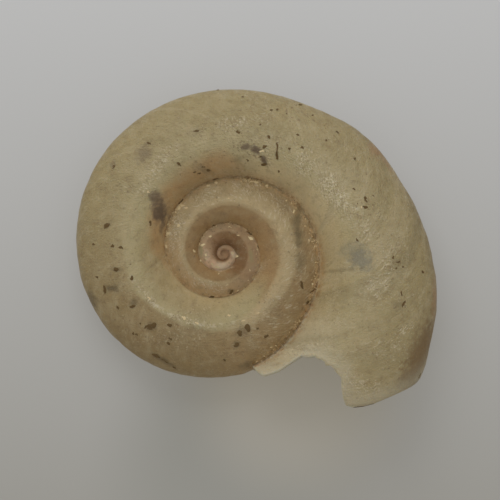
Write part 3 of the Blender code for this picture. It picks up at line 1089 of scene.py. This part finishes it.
def paint_nucleus(n, place, growth, across, past_ridge):
    """The oldest whorls: pink in the middle, with a chalky rim."""
    oldest = n.section_ramp(n.maths("ADD", past_ridge, NUCLEUS_STEP), NUCLEUS_RAMP, "nucleus")
    oldest = n.over(oldest, NUCLEUS_PINK, n.fade(growth, 0.95, 0.7), 0.8)
    chalk = n.curve(growth, 0.0, 2.0, CHALK, "chalk")
    flaked = n.fade(n.noise(place, 9.0, 3.0), 0.3, 0.48)
    return n.over(oldest, NUCLEUS_WHITE, chalk, n.fade(across, 0.05, 0.2), flaked, 0.85)


def paint_sutures(n, colour, place, growth, across):
    """A crust on both sides of the sutures, cream outside and brown inside."""
    crumbs = n.noise(place, 13.0, 3.0, 0.6)
    colour = n.over(
        colour, CRUST, n.fade(across, 0.36, 0.4), n.fade(growth, 2.97, 2.93),
        n.fade(growth, 1.0, 1.3), n.fade(crumbs, 0.42, 0.56), n.fade(across, 0.44, 0.43), 0.75,
    )
    clean = n.product(n.fade(growth, 2.9, 3.0), n.fade(growth, 3.3, 3.15))
    return n.over(
        colour, SUTURE_BROWN, n.fade(across, 0.035, 0.0), n.fade(growth, 1.3, 1.8),
        n.fade(crumbs, 0.6, 0.4), n.scaled(clean, -0.85, 1.0), 0.8,
    )


def paint_whorls(n, place, growth, across):
    """The broad colours of all whorls. A noise makes their bounds wander."""
    wander = n.scaled(n.noise(place, 3.0, 4.0, 0.6), 0.05, -0.025)
    past_ridge = n.scaled(wander, 0.35, n.mark("past_ridge"))
    last = paint_last(n, growth, across, n.maths("ADD", across, wander))
    # The flank loses its brown a little before the outer slope does.
    ahead = n.scaled(n.fade(across, 0.24, 0.1), 0.14, growth)
    young = n.section_ramp(n.maths("ADD", past_ridge, YOUNG_STEP), YOUNG_RAMP, "young whorls")
    colour = n.over(young, last, n.fade(ahead, 2.94, 3.05))
    # Past the ridge the outer slope is brown, for the turn that begins and ends here.
    pale = n.curve(growth, 2.66, 3.36, PALE_WIDTH, "width of the pale band")
    beyond = n.fade(past_ridge, n.maths("SUBTRACT", pale, 0.008), n.maths("ADD", pale, 0.014))
    outer = n.product(n.fade(growth, 3.36, 3.1), n.fade(growth, 2.46, 2.8))
    colour = n.over(colour, EDGE_BROWN, outer, beyond, 0.6)
    colour = add_patches(n, colour, growth, across, LATER_PATCHES)
    oldest = paint_nucleus(n, place, growth, across, past_ridge)
    colour = n.over(colour, oldest, n.fade(growth, 2.05, 1.85))
    return paint_sutures(n, colour, place, growth, across)


# %% [markdown]
# ## Wear and dirt
#
# A real surface is never one colour. Clouds and growth bands vary it first. Then the
# skin is rubbed away in specks and fine crossed scratches, most of them on a few
# patches, and tiny dots of dirt lie thickest on others. All of it is noise: round
# for the specks, and drawn out along or aslant the growth for bands and scratches.

# %% Clouds, specks and scratches
# One whorl is about this many times as long as the way round its section.
WHORL_OVER_SECTION = 4.0


def streaks(n, line, across, per_whorl, across_count, detail=2.0):
    """Noise drawn out into streaks: across_count long cells across, per_whorl along."""
    place = n.combine(n.product(line, per_whorl), n.product(across, across_count))
    return n.noise(place, 1.0, detail, 0.6)


def slanted(n, line, across):
    """Two maps of the skin that run aslant, forward and backward."""
    along = n.product(line, WHORL_OVER_SECTION)
    return n.maths("ADD", along, across), n.maths("SUBTRACT", along, across)


def add_clouds(n, colour, place, line, growth, across, mottle):
    """Painted glints and rubbed flecks on the ridge, broad clouds, growth bands near the mouth,
    mottling and pale streaks.
    """
    # Pale flecks on the ridge: painted glints of the crest, partly rubbed skin.
    glinting_and_worn = n.fade(n.noise(place, 9.0, 4.0, 0.7), 0.46, 0.62)
    on_ridge = n.fade(n.mark("ridge"), 0.75, 1.0)
    colour = n.over(colour, FROST_WHITE, glinting_and_worn, on_ridge, n.fade(growth, 2.6, 3.05), 0.6)
    cloud = n.noise(place, 1.3, 4.0, 0.6)
    colour = n.over(colour, OLIVE, n.fade(cloud, 0.48, 0.72), 0.3)
    colour = n.over(colour, CREAM, n.fade(cloud, 0.48, 0.3), 0.25)
    bands = streaks(n, line, across, 26.0, 1.5)
    near_mouth = n.product(n.fade(growth, 3.55, 3.75), 0.4)
    colour = n.over(colour, CREAM, n.fade(bands, 0.52, 0.66), near_mouth)
    colour = n.over(colour, OLIVE, n.fade(bands, 0.48, 0.34), near_mouth)
    colour = n.over(colour, DULL_BROWN, n.fade(mottle, 0.5, 0.72), 0.3)
    colour = n.over(colour, CREAM, n.fade(mottle, 0.5, 0.3), 0.3)
    streak = n.fade(streaks(n, line, across, 70.0, 5.0, 3.0), 0.5, 0.75)
    return n.over(colour, CHALK_WHITE, streak, n.scaled(n.fade(growth, 2.9, 3.5), 0.2, 0.12))


def add_wear(n, colour, place, ragged, growth, across, mottle, speck, ways, slants):
    """Rubbed specks, crossed scratches, the leaning lines of the young whorls, and dots."""
    frost = strongest(n, place, ragged, FROSTED)
    limit = n.scaled(frost, -0.12, 0.64)
    rubbed = n.fade(speck, limit, n.maths("ADD", limit, 0.08))
    colour = n.over(colour, FROST_WHITE, rubbed, n.scaled(frost, 0.35, 0.25))
    scratch = n.fade(n.maths("MAXIMUM", *slants), 0.56, 0.68)
    colour = n.over(colour, FROST_WHITE, scratch, frost, 0.5)
    # On the small young whorls the growth lines lean and lie further apart.
    hatch = n.fade(streaks(n, *ways, 40.0, 16.0), 0.55, 0.65)
    colour = n.over(
        colour, FROST_WHITE, hatch, n.fade(growth, 2.98, 2.88), n.fade(growth, 1.9, 2.1),
        n.fade(across, 0.19, 0.22), n.fade(across, 0.5, 0.44), n.fade(mottle, 0.62, 0.42), 0.5,
    )
    gap = n.fade(n.maths("MINIMUM", *slants), 0.44, 0.32)
    colour = n.over(colour, DULL_BROWN, gap, frost, 0.45)
    limit = n.scaled(strongest(n, place, ragged, DIRTY), -0.09, 0.62)
    dotted = n.fade(n.noise(place, 19.0, 3.0, 0.65), limit, n.maths("ADD", limit, 0.1))
    return n.over(colour, DULL_BROWN, dotted, 0.55)


# %% [markdown]
# ## The horn material
#
# This cell joins the layers, from the whorls' own colours up to stains and the worn
# lip. The surface is satin, a little light goes into it, and a weak bump adds the
# lines that are too fine for the mesh, weaker where the last whorl is smooth.

# %% The horn material
# Strength of the finest relief, at growths from 2.9 to 3.96.
RELIEF_STRENGTH = (
    (0.0, 0.85), (0.2, 0.6), (0.4, 0.6), (0.52, 0.8), (0.7, 0.75), (0.85, 0.45), (1.0, 0.4),
)
RELIEF_DEPTH = 0.02 * MM
LIGHT_DEPTH = 0.12 * MM


def build_horn():
    """The material of the whole shell."""
    material, n, shader = new_material("horn")
    place = place_in_mm(n)
    flat_map = n.node("ShaderNodeUVMap", uv_map=MAP_NAME).outputs[0]
    line, across, _ = n.node("ShaderNodeSeparateXYZ", {0: flat_map}).outputs
    growth = n.mark("grown")
    in_hollow = n.maths("GREATER_THAN", across, OUTSIDE_END)
    outside_only = n.maths("SUBTRACT", 1.0, in_hollow)
    ragged = n.scaled(n.noise(place, 9.0, 4.0, 0.65), 2.2, -1.1)
    mottle = n.noise(place, 7.0, 4.0, 0.65)
    speck = n.noise(place, 30.0, 2.0, 0.75)
    forward, backward = slanted(n, line, across)
    slants = (streaks(n, forward, backward, 95.0, 22.0), streaks(n, backward, forward, 95.0, 22.0))

    colour = paint_whorls(n, place, growth, across)
    colour = add_clouds(n, colour, place, line, growth, across, mottle)
    colour = add_wear(n, colour, place, ragged, growth, across, mottle, speck,
                      (forward, backward), slants)
    upper_side = n.product(outside_only, n.fade(across, 0.53, 0.46))
    for stain_colour, *spots in STAINS:
        for spot in spots:
            colour = n.over(colour, stain_colour, spot_at(n, place, ragged, *spot), upper_side)
    colour = n.over(colour, LIP_CREAM, n.fade(n.mark("near_lip"), 0.3, 1.0), 0.45)
    colour = n.over(colour, HOLLOW_COLOUR, in_hollow)
    for kind, lip_colour in ((PALE_LIP, LIP_CREAM), (BROWN_LIP, EDGE_BROWN), (DARK_LIP, LIP_SHADE)):
        colour = n.over(colour, lip_colour, n.maths("COMPARE", across, kind, 0.005))

    height = n.maths("ADD", streaks(n, line, across, 300.0, 14.0),
                     streaks(n, line, across, 40.0, 150.0, 1.0))
    for slant in slants:
        height = n.maths("ADD", height, slant)
    height = n.product(n.scaled(speck, 1.6, height), outside_only)
    strength = n.curve(growth, 2.9, 3.96, RELIEF_STRENGTH, "strength of the fine relief")
    bump = n.node("ShaderNodeBump", {
        "Height": height, "Strength": strength, "Distance": RELIEF_DEPTH,
    })
    for name, output in (
        ("Base Color", colour), ("Roughness", n.scaled(mottle, 0.4, 0.25)), ("Normal", bump.outputs[0]),
    ):
        n.tree.links.new(output, shader.inputs[name])
    shader.inputs["Subsurface Weight"].default_value = 0.25
    shader.inputs["Subsurface Radius"].default_value = (1.0, 0.7, 0.4)
    shader.inputs["Subsurface Scale"].default_value = LIGHT_DEPTH
    return material


horn = build_horn()
print("horn has", len(horn.node_tree.nodes), "nodes")

# %% [markdown]
# ## Wind it up
#
# Now the tree runs on the chart, with the material as one of its inputs. The shell
# replaces the model's plain solid and rides on the same body.

# %% Wind the chart into the shell
apply_tree(skin, wind_tree, {"Material": horn})
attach(skin, "root")
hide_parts("shell")
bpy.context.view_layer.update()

# %% [markdown]
# ## Grains along the sutures
#
# The sutures are grooves, so lime grains and dirt have gathered in them, thickly on
# some stretches and hardly on others. We weigh every point of the shell by how near
# a suture it lies and by a table of stretches. Then Geometry Nodes scatter little
# lumps by that weight, each with its own size and turn. The seed keeps them in place.

# %% Weights along the sutures
# How thickly the grains lie at each growth of the older whorl beside the suture.
GRAIN_STRETCHES = (
    (1.15, 0.2), (1.3, 0.5), (1.7, 0.4), (2.0, 0.15), (2.2, 0.4), (2.25, 1.0), (2.38, 1.0),
    (2.42, 0.2), (2.52, 0.3), (2.54, 1.6), (2.6, 1.6), (2.62, 0.35), (2.68, 0.6),
    (2.73, 0.6), (2.86, 0.6), (2.9, 0.25), (2.97, 0.1),
)
DIRT_STRETCHES = (
    (1.15, 0.0), (1.3, 0.9), (1.55, 0.9), (1.75, 0.3), (2.0, 0.15), (2.2, 0.5), (2.3, 0.6),
    (2.38, 0.9), (2.5, 0.4), (2.58, 0.9), (2.7, 0.5), (2.8, 1.0), (2.87, 1.0), (2.95, 0.4),
)
# The last whorl's own suture begins here, and nothing has gathered past it.
LAST_GRAIN = 2.97


def point_values(name):
    """A number that every point of the shell carries."""
    values = np.empty(len(skin.data.vertices), dtype=np.float32)
    skin.data.attributes[name].data.foreach_get("value", values)
    return values


def suture_weights(stretches, low, high):
    """Weight of each point: its stretch, inside a band of places round the older whorl."""
    growths, places = point_values("growth"), point_values("around")
    inside = (places >= low) & (places <= high) & (growths < LAST_GRAIN)
    return np.where(inside, np.interp(growths, *np.array(stretches).T), 0.0)


print("largest weight:", suture_weights(GRAIN_STRETCHES, 0.385, 0.42).max())

# %% The tree that scatters grains
SCATTER_SIZES = {
    "Density per mm2": ("NodeSocketFloat", 900.0),
    "Smallest": ("NodeSocketFloat", 0.006 * MM),
    "Largest": ("NodeSocketFloat", 0.016 * MM),
    "Longest over Shortest": ("NodeSocketFloat", 2.0),
    "Clumps per mm": ("NodeSocketFloat", 4.0),
    "Seed": ("NodeSocketInt", 7),
    "Material": ("NodeSocketMaterial", None),
}
FLATNESS = 0.8


def build_scatter_tree():
    """The tree that scatters lumps over the faces by their weight."""
    n, given, result = new_tree("scatter_grains", SCATTER_SIZES)
    seed = given["Seed"]
    density = n.maths("DIVIDE", given["Density per mm2"], MM * MM)
    here = n.node("GeometryNodeInputPosition").outputs[0]
    clumps = n.fade(n.noise(here, n.maths("DIVIDE", given["Clumps per mm"], MM)), 0.42, 0.6)
    points = n.node("GeometryNodeDistributePointsOnFaces", {
        "Mesh": given["Geometry"], "Seed": seed,
        "Density": n.product(named_value(n, "crust"), clumps, density),
    })
    lump = n.node("GeometryNodeMeshIcoSphere", {"Radius": 1.0, "Subdivisions": 1})
    turn = n.node("FunctionNodeRandomValue", {
        "Max": (2 * math.pi, 2 * math.pi, 2 * math.pi), "Seed": seed,
    }, data_type="FLOAT_VECTOR")
    size = n.node("FunctionNodeRandomValue", {
        2: given["Smallest"], 3: given["Largest"], "Seed": seed,
    }, data_type="FLOAT")
    stretch = n.combine(given["Longest over Shortest"], 1.0, FLATNESS)
    lumps = n.node("GeometryNodeInstanceOnPoints", {
        "Points": points.outputs["Points"], "Instance": lump.outputs["Mesh"],
        "Rotation": turn.outputs[0],
        "Scale": n.vector("SCALE", stretch, Scale=size.outputs[1]).outputs[0],
    })
    return end_tree(n, lumps.outputs[0], given["Material"], result)


scatter_tree = build_scatter_tree()
print("the tree has", len(scatter_tree.nodes), "nodes")

# %% Plain materials, and the last step of each piece
def plain_material(name, colour, roughness):
    """A material of one colour."""
    material, _, shader = new_material(name)
    shader.inputs["Base Color"].default_value = screen_colour(*colour)
    shader.inputs["Roughness"].default_value = roughness
    return material


def add_piece(thing):
    """Let a piece ride on the model's body."""
    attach(thing, "root")
    print(thing.name, "has", len(thing.data.polygons), "faces")


lime = plain_material("lime_grain", (230, 208, 160), 0.4)
dirt = plain_material("dirt", (104, 80, 40), 0.7)
crumbs = plain_material("brown_crumbs", (152, 112, 62), 0.6)
print("materials:", [material.name for material in (lime, dirt, crumbs)])

# %% Scatter them
# Each piece lies in a narrow band round the older whorl, where the next one grips it.
for name, stretches, low, high, sizes in (
    ("suture_grains", GRAIN_STRETCHES, 0.385, 0.42, {"Material": lime, "Seed": 7}),
    ("suture_dirt", DIRT_STRETCHES, 0.4, 0.43, {
        "Material": crumbs, "Seed": 11, "Density per mm2": 700.0,
        "Smallest": 0.004 * MM, "Largest": 0.01 * MM,
    }),
):
    scattered = add_object(name, skin.data.copy())
    crust = scattered.data.attributes.new("crust", "FLOAT", "POINT")
    crust.data.foreach_set("value", suture_weights(stretches, low, high).astype(np.float32))
    apply_tree(scattered, scatter_tree, sizes)
    add_piece(scattered)

# %% [markdown]
# ## Flakes of dirt
#
# Dark flakes and a few pale grains lie here and there on the shell, each in a place
# of its own, so a table names them one by one. Geometry Nodes drop each point
# straight down on to the shell, lay a flat lump along the surface there, stretch and
# turn it by the table, and rumple all of them with one noise.

# %% Flakes and where they are
# Pixel x and y, half length and half width in pixels, turn in degrees.
DARK_FLAKES = (
    (277, 147, 5, 1.1, 87), (277, 156, 5, 1.2, 92), (149, 325.5, 4, 1.5, 16),
    (154.5, 325, 3.4, 2.2, 80), (150.5, 328, 3, 1.2, 170), (146, 327, 2.5, 0.9, 30),
    (397, 262, 2, 0.8, 20), (392, 257, 1.6, 0.7, 60), (402, 267, 1.4, 0.6, 0),
    (395, 268, 1.2, 0.6, 90), (357, 204, 1.2, 0.7, 20), (372, 196, 1.2, 0.6, 120),
    (392, 397, 4, 0.7, 26), (382, 401, 3.4, 0.6, 18), (402, 391, 3, 0.6, 33), (419, 376, 3, 0.6, 55),
    (247.9, 327.7, 5, 2.3, 113), (156.2, 355.4, 4.9, 1.7, 154), (165, 361, 4, 0.9, 148),
    (301.5, 285.9, 4.9, 1.1, 97), (107.7, 225.7, 3.8, 1.9, 40), (263.8, 164.8, 3.4, 1.4, 29),
    (364.5, 207.6, 2.9, 1.4, 149), (116.6, 269.6, 2.5, 2, 174), (181, 201.6, 3.8, 1.2, 46),
    (264.4, 147.6, 2.6, 1.2, 25), (215.3, 179.2, 3.4, 1.2, 16), (105.2, 289.4, 4.2, 1.5, 95),
    (236.4, 344.7, 2.9, 1.8, 61), (260.2, 157.1, 2.5, 1.3, 21), (231.1, 292, 2.6, 1.5, 55),
    (239.8, 332.9, 3.1, 2.2, 117), (133.2, 305.6, 3, 1.5, 9), (208.5, 170.5, 2.4, 1.6, 137),
    (265.9, 336.3, 2.6, 1.6, 53), (300, 105.1, 2.6, 1.2, 14), (170, 325, 2.1, 1.6, 165),
    (211.9, 296.6, 3, 0.9, 5), (402.4, 303.3, 3.6, 0.9, 63), (354.4, 159.7, 1.8, 1.1, 102),
    (364.3, 198.9, 2.1, 1.1, 67), (421.7, 271.6, 1.5, 1.2, 158), (312.1, 291.2, 2.8, 1.1, 41),
    (307.8, 301.7, 2, 1.3, 39), (179.3, 164.4, 2.6, 1.2, 142), (238.3, 132.7, 2.4, 1.2, 157),
    (268.7, 138.2, 2.2, 1.3, 139), (132.6, 278, 2.2, 1.3, 58), (136.9, 334.2, 1.7, 1.4, 138),
    (170.3, 338.2, 2.2, 1.1, 145), (242.8, 97.1, 1.3, 1.1, 98), (196.9, 131.6, 2.8, 0.9, 6),
    (150.5, 222.8, 2.6, 1, 101), (114.2, 167, 2.6, 1.1, 58), (169, 343.1, 1.8, 1.2, 140),
    (278.8, 171.7, 1.5, 1.2, 67), (199.1, 173.6, 1.8, 1.1, 179), (213.2, 225.2, 1.5, 1.2, 49),
    (113.1, 246.1, 1.8, 1.4, 43), (289.2, 149.3, 1.8, 1.2, 6), (174.5, 367.2, 2.3, 1.1, 153),
    (277.5, 110.7, 1.1, 1, 0), (325.6, 140.8, 1.4, 1.1, 108), (247.6, 161, 1.7, 1.1, 93),
    (302, 148.4, 1.6, 1.1, 0), (356.6, 240.2, 2, 0.9, 113), (121.7, 247.4, 2.1, 1, 169),
    (133, 332.4, 1.7, 1.1, 179), (194.6, 172.4, 1.2, 1.1, 42), (257.8, 328.4, 1.5, 1.1, 16),
    (286.6, 114.4, 1.2, 1.1, 49), (260.6, 125.5, 1.1, 1.1, 91), (400.1, 293.1, 2.8, 0.7, 115),
    (353, 189.2, 1.7, 1, 122), (326.4, 130.2, 1.2, 0.9, 35), (337.7, 133.4, 2.2, 0.8, 157),
    (118, 307.2, 1.9, 1.1, 142), (94.6, 244.4, 1.2, 1.1, 112), (217.6, 90.2, 1.6, 1, 71),
    (271.7, 110.8, 1.2, 0.9, 37), (324.1, 126, 1.6, 0.7, 0), (297.3, 135.5, 1.3, 0.8, 128),
    (204.4, 167, 2.3, 0.7, 0), (149.7, 143.8, 2.2, 1.2, 164), (225, 359.5, 1.6, 1, 150),
    (313, 116, 1.2, 0.9, 0), (97.5, 277, 1.5, 1.1, 0), (141, 323, 1.1, 0.9, 0),
    (365, 201, 1.2, 0.8, 20), (258, 246.1, 2.6, 1, 106), (250.1, 233.7, 2.6, 1, 142),
)
PALE_GRAINS = (
    (182.8, 205.5, 2.6, 1.4, 21), (179, 208.5, 2, 1.2, 40), (186.5, 208, 1.6, 1.1, 0),
    (250.7, 238.3, 3, 1.2, 150), (202.7, 245.2, 2.4, 1.2, 21), (255.8, 182.1, 2.2, 1.2, 147),
    (168.1, 234.1, 2.8, 1, 37), (216, 182.7, 1.7, 1.2, 148), (266.3, 185.6, 1.6, 1.2, 153),
    (194.4, 251, 2.2, 1, 165), (228.7, 315, 1.7, 1, 130), (166.3, 246.1, 2.2, 1, 119),
    (293.5, 211.6, 1.9, 1, 89), (308.7, 241, 1.4, 1.3, 88), (210.4, 236.8, 1.4, 0.9, 13),
    (244.8, 179.6, 1.4, 1, 159), (207.7, 185.6, 1.4, 1, 162), (179.2, 225.6, 1.4, 1, 17),
    (230.1, 227, 2, 0.7, 0), (227.8, 198.7, 1.3, 0.9, 163), (258, 313, 1.3, 1, 0),
    (230, 222, 1.2, 0.9, 0), (261.4, 151.8, 2.4, 0.8, 10), (360.7, 207.5, 1.2, 0.8, 50),
    (148.9, 192, 1.5, 0.7, 0), (243.1, 320.6, 2, 0.7, 17), (184, 318, 2.4, 0.9, -20),
    (150, 298, 2.2, 0.8, -50), (197, 323, 2, 0.8, -30), (218, 267.8, 3, 0.7, 160),
    (212.5, 264.6, 2, 0.6, 140), (205.8, 255, 1.8, 0.6, 80), (206.2, 259, 1.4, 0.5, 100),
    (232.4, 252.8, 1.4, 0.7, 120), (237.6, 256.2, 1.4, 0.5, 0), (237.9, 235, 0.9, 0.7, 0),
    (227.5, 263, 1.6, 0.5, 20), (218.8, 274.1, 1, 0.6, 60), (250, 270.3, 1.2, 0.7, 90),
    (256.7, 265.3, 1.2, 0.6, 30), (209.6, 227.8, 1.6, 0.6, 140), (201.7, 237.8, 0.9, 0.7, 0),
    (256.3, 253.7, 1, 0.6, 80), (248.3, 280.3, 1.2, 0.6, 40), (200, 260.3, 1.2, 0.6, 90),
    (227.5, 284.5, 1.2, 0.7, 0),
)
print(len(DARK_FLAKES), "flakes and", len(PALE_GRAINS), "grains")

# %% The tree that drops them
DROP_SIZES = {
    "Shell": ("NodeSocketObject", None),
    "Thickness over Width": ("NodeSocketFloat", 0.5),
    "Rumple": ("NodeSocketFloat", 0.02 * MM),
    "Rumples per mm": ("NodeSocketFloat", 36.0),
    "Material": ("NodeSocketMaterial", None),
}
DROP_LEVEL = 3.0
# A noise colour less its middle is rarely past a quarter, so the rumple is drawn up.
RUMPLE_GAIN = 4.0


def build_drop_tree():
    """The tree that drops lumps straight down and lays them along the surface."""
    n, given, result = new_tree("drop_on_shell", DROP_SIZES)
    shell = n.node("GeometryNodeObjectInfo", {0: given["Shell"]})
    landing = n.node("GeometryNodeRaycast", {
        "Target Geometry": shell.outputs["Geometry"], "Ray Length": 2 * DROP_LEVEL * MM,
    }).outputs
    kept = n.node("GeometryNodeCaptureAttribute", {"Geometry": given["Geometry"]})
    kept.capture_items.new("VECTOR", "Normal")
    n.tree.links.new(landing["Hit Normal"], kept.inputs["Normal"])
    landed = n.node("GeometryNodeSetPosition", {
        "Geometry": kept.outputs["Geometry"], "Position": landing["Hit Position"],
    })
    laid = n.node("FunctionNodeAlignRotationToVector", {
        "Rotation": n.combine(0.0, 0.0, named_value(n, "turn")), "Vector": kept.outputs["Normal"],
    }, axis="Z")
    half_width = named_value(n, "half_width")
    thickness = n.product(half_width, given["Thickness over Width"])
    lump = n.node("GeometryNodeMeshIcoSphere", {"Radius": 1.0, "Subdivisions": 2})
    lumps = n.node("GeometryNodeInstanceOnPoints", {
        "Points": landed.outputs[0], "Instance": lump.outputs["Mesh"],
        "Rotation": laid.outputs[0],
        "Scale": n.combine(named_value(n, "half_length"), half_width, thickness),
    })
    real = n.node("GeometryNodeRealizeInstances", {0: lumps.outputs[0]})
    rumple = n.node("ShaderNodeTexNoise", {
        "Vector": n.node("GeometryNodeInputPosition").outputs[0], "Detail": 1.0,
        "Scale": n.maths("DIVIDE", given["Rumples per mm"], MM),
    })
    centred = n.vector("SUBTRACT", rumple.outputs["Color"], (0.5, 0.5, 0.5))
    # Mostly sideways, so that no flake sinks into the shell.
    sideways = n.vector("MULTIPLY", centred.outputs[0], (1.0, 1.0, 0.1))
    reach = n.product(given["Rumple"], RUMPLE_GAIN)
    rumpled = n.node("GeometryNodeSetPosition", {
        "Geometry": real.outputs[0],
        "Offset": n.vector("SCALE", sideways.outputs[0], Scale=reach).outputs[0],
    })
    return end_tree(n, rumpled.outputs[0], given["Material"], result)


drop_tree = build_drop_tree()
print("the tree has", len(drop_tree.nodes), "nodes")

# %% Drop them
def drop_lumps(name, table, sizes):
    """Drop a table of lumps on to the shell."""
    mesh = bpy.data.meshes.new(name)
    starts = [(*at_pixel(x, y), DROP_LEVEL) for x, y, *rest in table]
    mesh.from_pydata([[v * MM for v in start] for start in starts], [], [])
    half_lengths, half_widths, turns = np.array(table).T[2:]
    unit = MM_PER_PIXEL * MM
    for attribute_name, values in (
        ("half_length", half_lengths * unit), ("half_width", half_widths * unit),
        ("turn", np.radians(turns)),
    ):
        attribute = mesh.attributes.new(attribute_name, "FLOAT", "POINT")
        attribute.data.foreach_set("value", values.astype(np.float32))
    lumps = add_object(name, mesh)
    apply_tree(lumps, drop_tree, {"Shell": skin, **sizes})
    add_piece(lumps)


drop_lumps("dark_flakes", DARK_FLAKES, {"Material": dirt, "Thickness over Width": 0.3})
drop_lumps("pale_grains", PALE_GRAINS, {"Material": lime})

# %% [markdown]
# ## Floor, light and camera
#
# The shell lies on a pale plate that glows a little, and the glow is painted light.
# The shell is lit softly from the top of the view, so one wide soft box stands there,
# the plate's painted glow grows brighter towards it, and a pale world fills the
# shadows. Before the shell two soft spots change the glow: a darker one is a painted
# shadow of the shell, and a warmer one close to the horn is painted light thrown back
# from it. The camera looks straight down from far above through a long lens, as a
# macro stand does, and is framed so that one pixel spans MM_PER_PIXEL on the shell.

# %% Floor
PLATE_SIDE = 0.12
PLATE_THICKNESS = 0.01
PLATE_GREY = (140, 140, 139)
# Painted light: the plate glows dimmer at the bottom of the view and brighter towards the soft box at
# its top.
GLOW_NEAR = (104, 101, 92)
GLOW_FAR = (148, 148, 148)
# How far from the middle the glow rises to the full, in millimetres.
GLOW_REACH = 4.5
# Softly bounded spots of another glow, a painted shadow of the shell and painted warm light thrown back
# from the horn: middle and reach in millimetres, and colour.
SHADOW_AND_BOUNCE_GLOW = (((-0.4, -3.9, 0.0), 2.7, (92, 90, 80)), ((0.7, -2.4, 0.0), 2.3, (117, 111, 97)))
GLOW_CORE = 0.3
half_side = PLATE_SIDE / 2
signs = ((-1, -1), (1, -1), (1, 1), (-1, 1))
plate_points = [(half_side * x, half_side * y, z) for z in (-PLATE_THICKNESS, 0.0) for x, y in signs]
plate_faces = [(3, 2, 1, 0), (4, 5, 6, 7)]
plate_faces += [(k, (k + 1) % 4, 4 + (k + 1) % 4, 4 + k) for k in range(4)]
plate_mesh = bpy.data.meshes.new("plate")
plate_mesh.from_pydata(plate_points, [], plate_faces)
plate = add_object("plate", plate_mesh)
plate_paint, n, plate_shader = new_material("opal_plate")
plate_place = place_in_mm(n)
plate_y = n.node("ShaderNodeSeparateXYZ", {0: plate_place}).outputs[1]
glow = n.over(GLOW_NEAR, GLOW_FAR, n.fade(plate_y, -GLOW_REACH, GLOW_REACH, "LINEAR"))
for centre, reach, tone in SHADOW_AND_BOUNCE_GLOW:
    apart = n.vector("DISTANCE", plate_place, centre).outputs["Value"]
    glow = n.over(glow, tone, n.fade(apart, reach, GLOW_CORE * reach))
n.tree.links.new(glow, plate_shader.inputs["Emission Color"])
plate_shader.inputs["Emission Strength"].default_value = 1.0
plate_shader.inputs["Base Color"].default_value = screen_colour(*PLATE_GREY)
plate_shader.inputs["Roughness"].default_value = 0.6
plate_mesh.materials.append(plate_paint)
plate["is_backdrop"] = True
print("plate:", PLATE_SIDE / MM, "mm wide")

# %% Light
WORLD_STRENGTH = 0.45
world = bpy.data.worlds.new("pale_room")
world.use_nodes = True
backdrop = world.node_tree.nodes["Background"]
backdrop.inputs["Color"].default_value = (1.0, 0.99, 0.97, 1.0)
backdrop.inputs["Strength"].default_value = WORLD_STRENGTH
bpy.context.scene.world = world
bpy.context.scene.view_settings.view_transform = "Standard"


def soft_box(name, side, place, watts):
    """A square area light that faces the shell."""
    light = bpy.data.lights.new(name, "AREA")
    light.shape = "SQUARE"
    light.size = side
    light.energy = watts
    lamp = add_object(name, light)
    lamp.location = place
    lamp.rotation_euler = lamp.location.to_track_quat("Z", "Y").to_euler()
    return lamp


top_box = soft_box("top_box", 0.03, (-0.008, 0.032, 0.026), 0.0062)
print("the soft box stands", round(top_box.location.length / MM), "mm away")

# %% Camera
CAMERA_LEVEL = 0.09
FOCUS_LEVEL = 0.7 * MM
SENSOR = 36.0
view_width = PIXELS_ACROSS * MM_PER_PIXEL * MM
camera_data = bpy.data.cameras.new("camera")
camera_data.sensor_width = SENSOR
camera_data.lens = SENSOR * (CAMERA_LEVEL - FOCUS_LEVEL) / view_width
camera_data.clip_start = 0.001
camera_data.clip_end = 2.0
camera = add_object("camera", camera_data)
camera.location = (VIEW_CENTRE[0] * MM, VIEW_CENTRE[1] * MM, CAMERA_LEVEL)
bpy.context.scene.camera = camera
print("lens", round(camera_data.lens), "mm")

# %% [markdown]
# ## Print the sizes and finish
#
# The dressed shell has to fill the same box as the model. We print both boxes.

# %% Sizes and the last call
sizes = {"model": [list(corner) for corner in model_box]}
sizes["dressed"] = [list(corner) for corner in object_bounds()]
print(sizes)
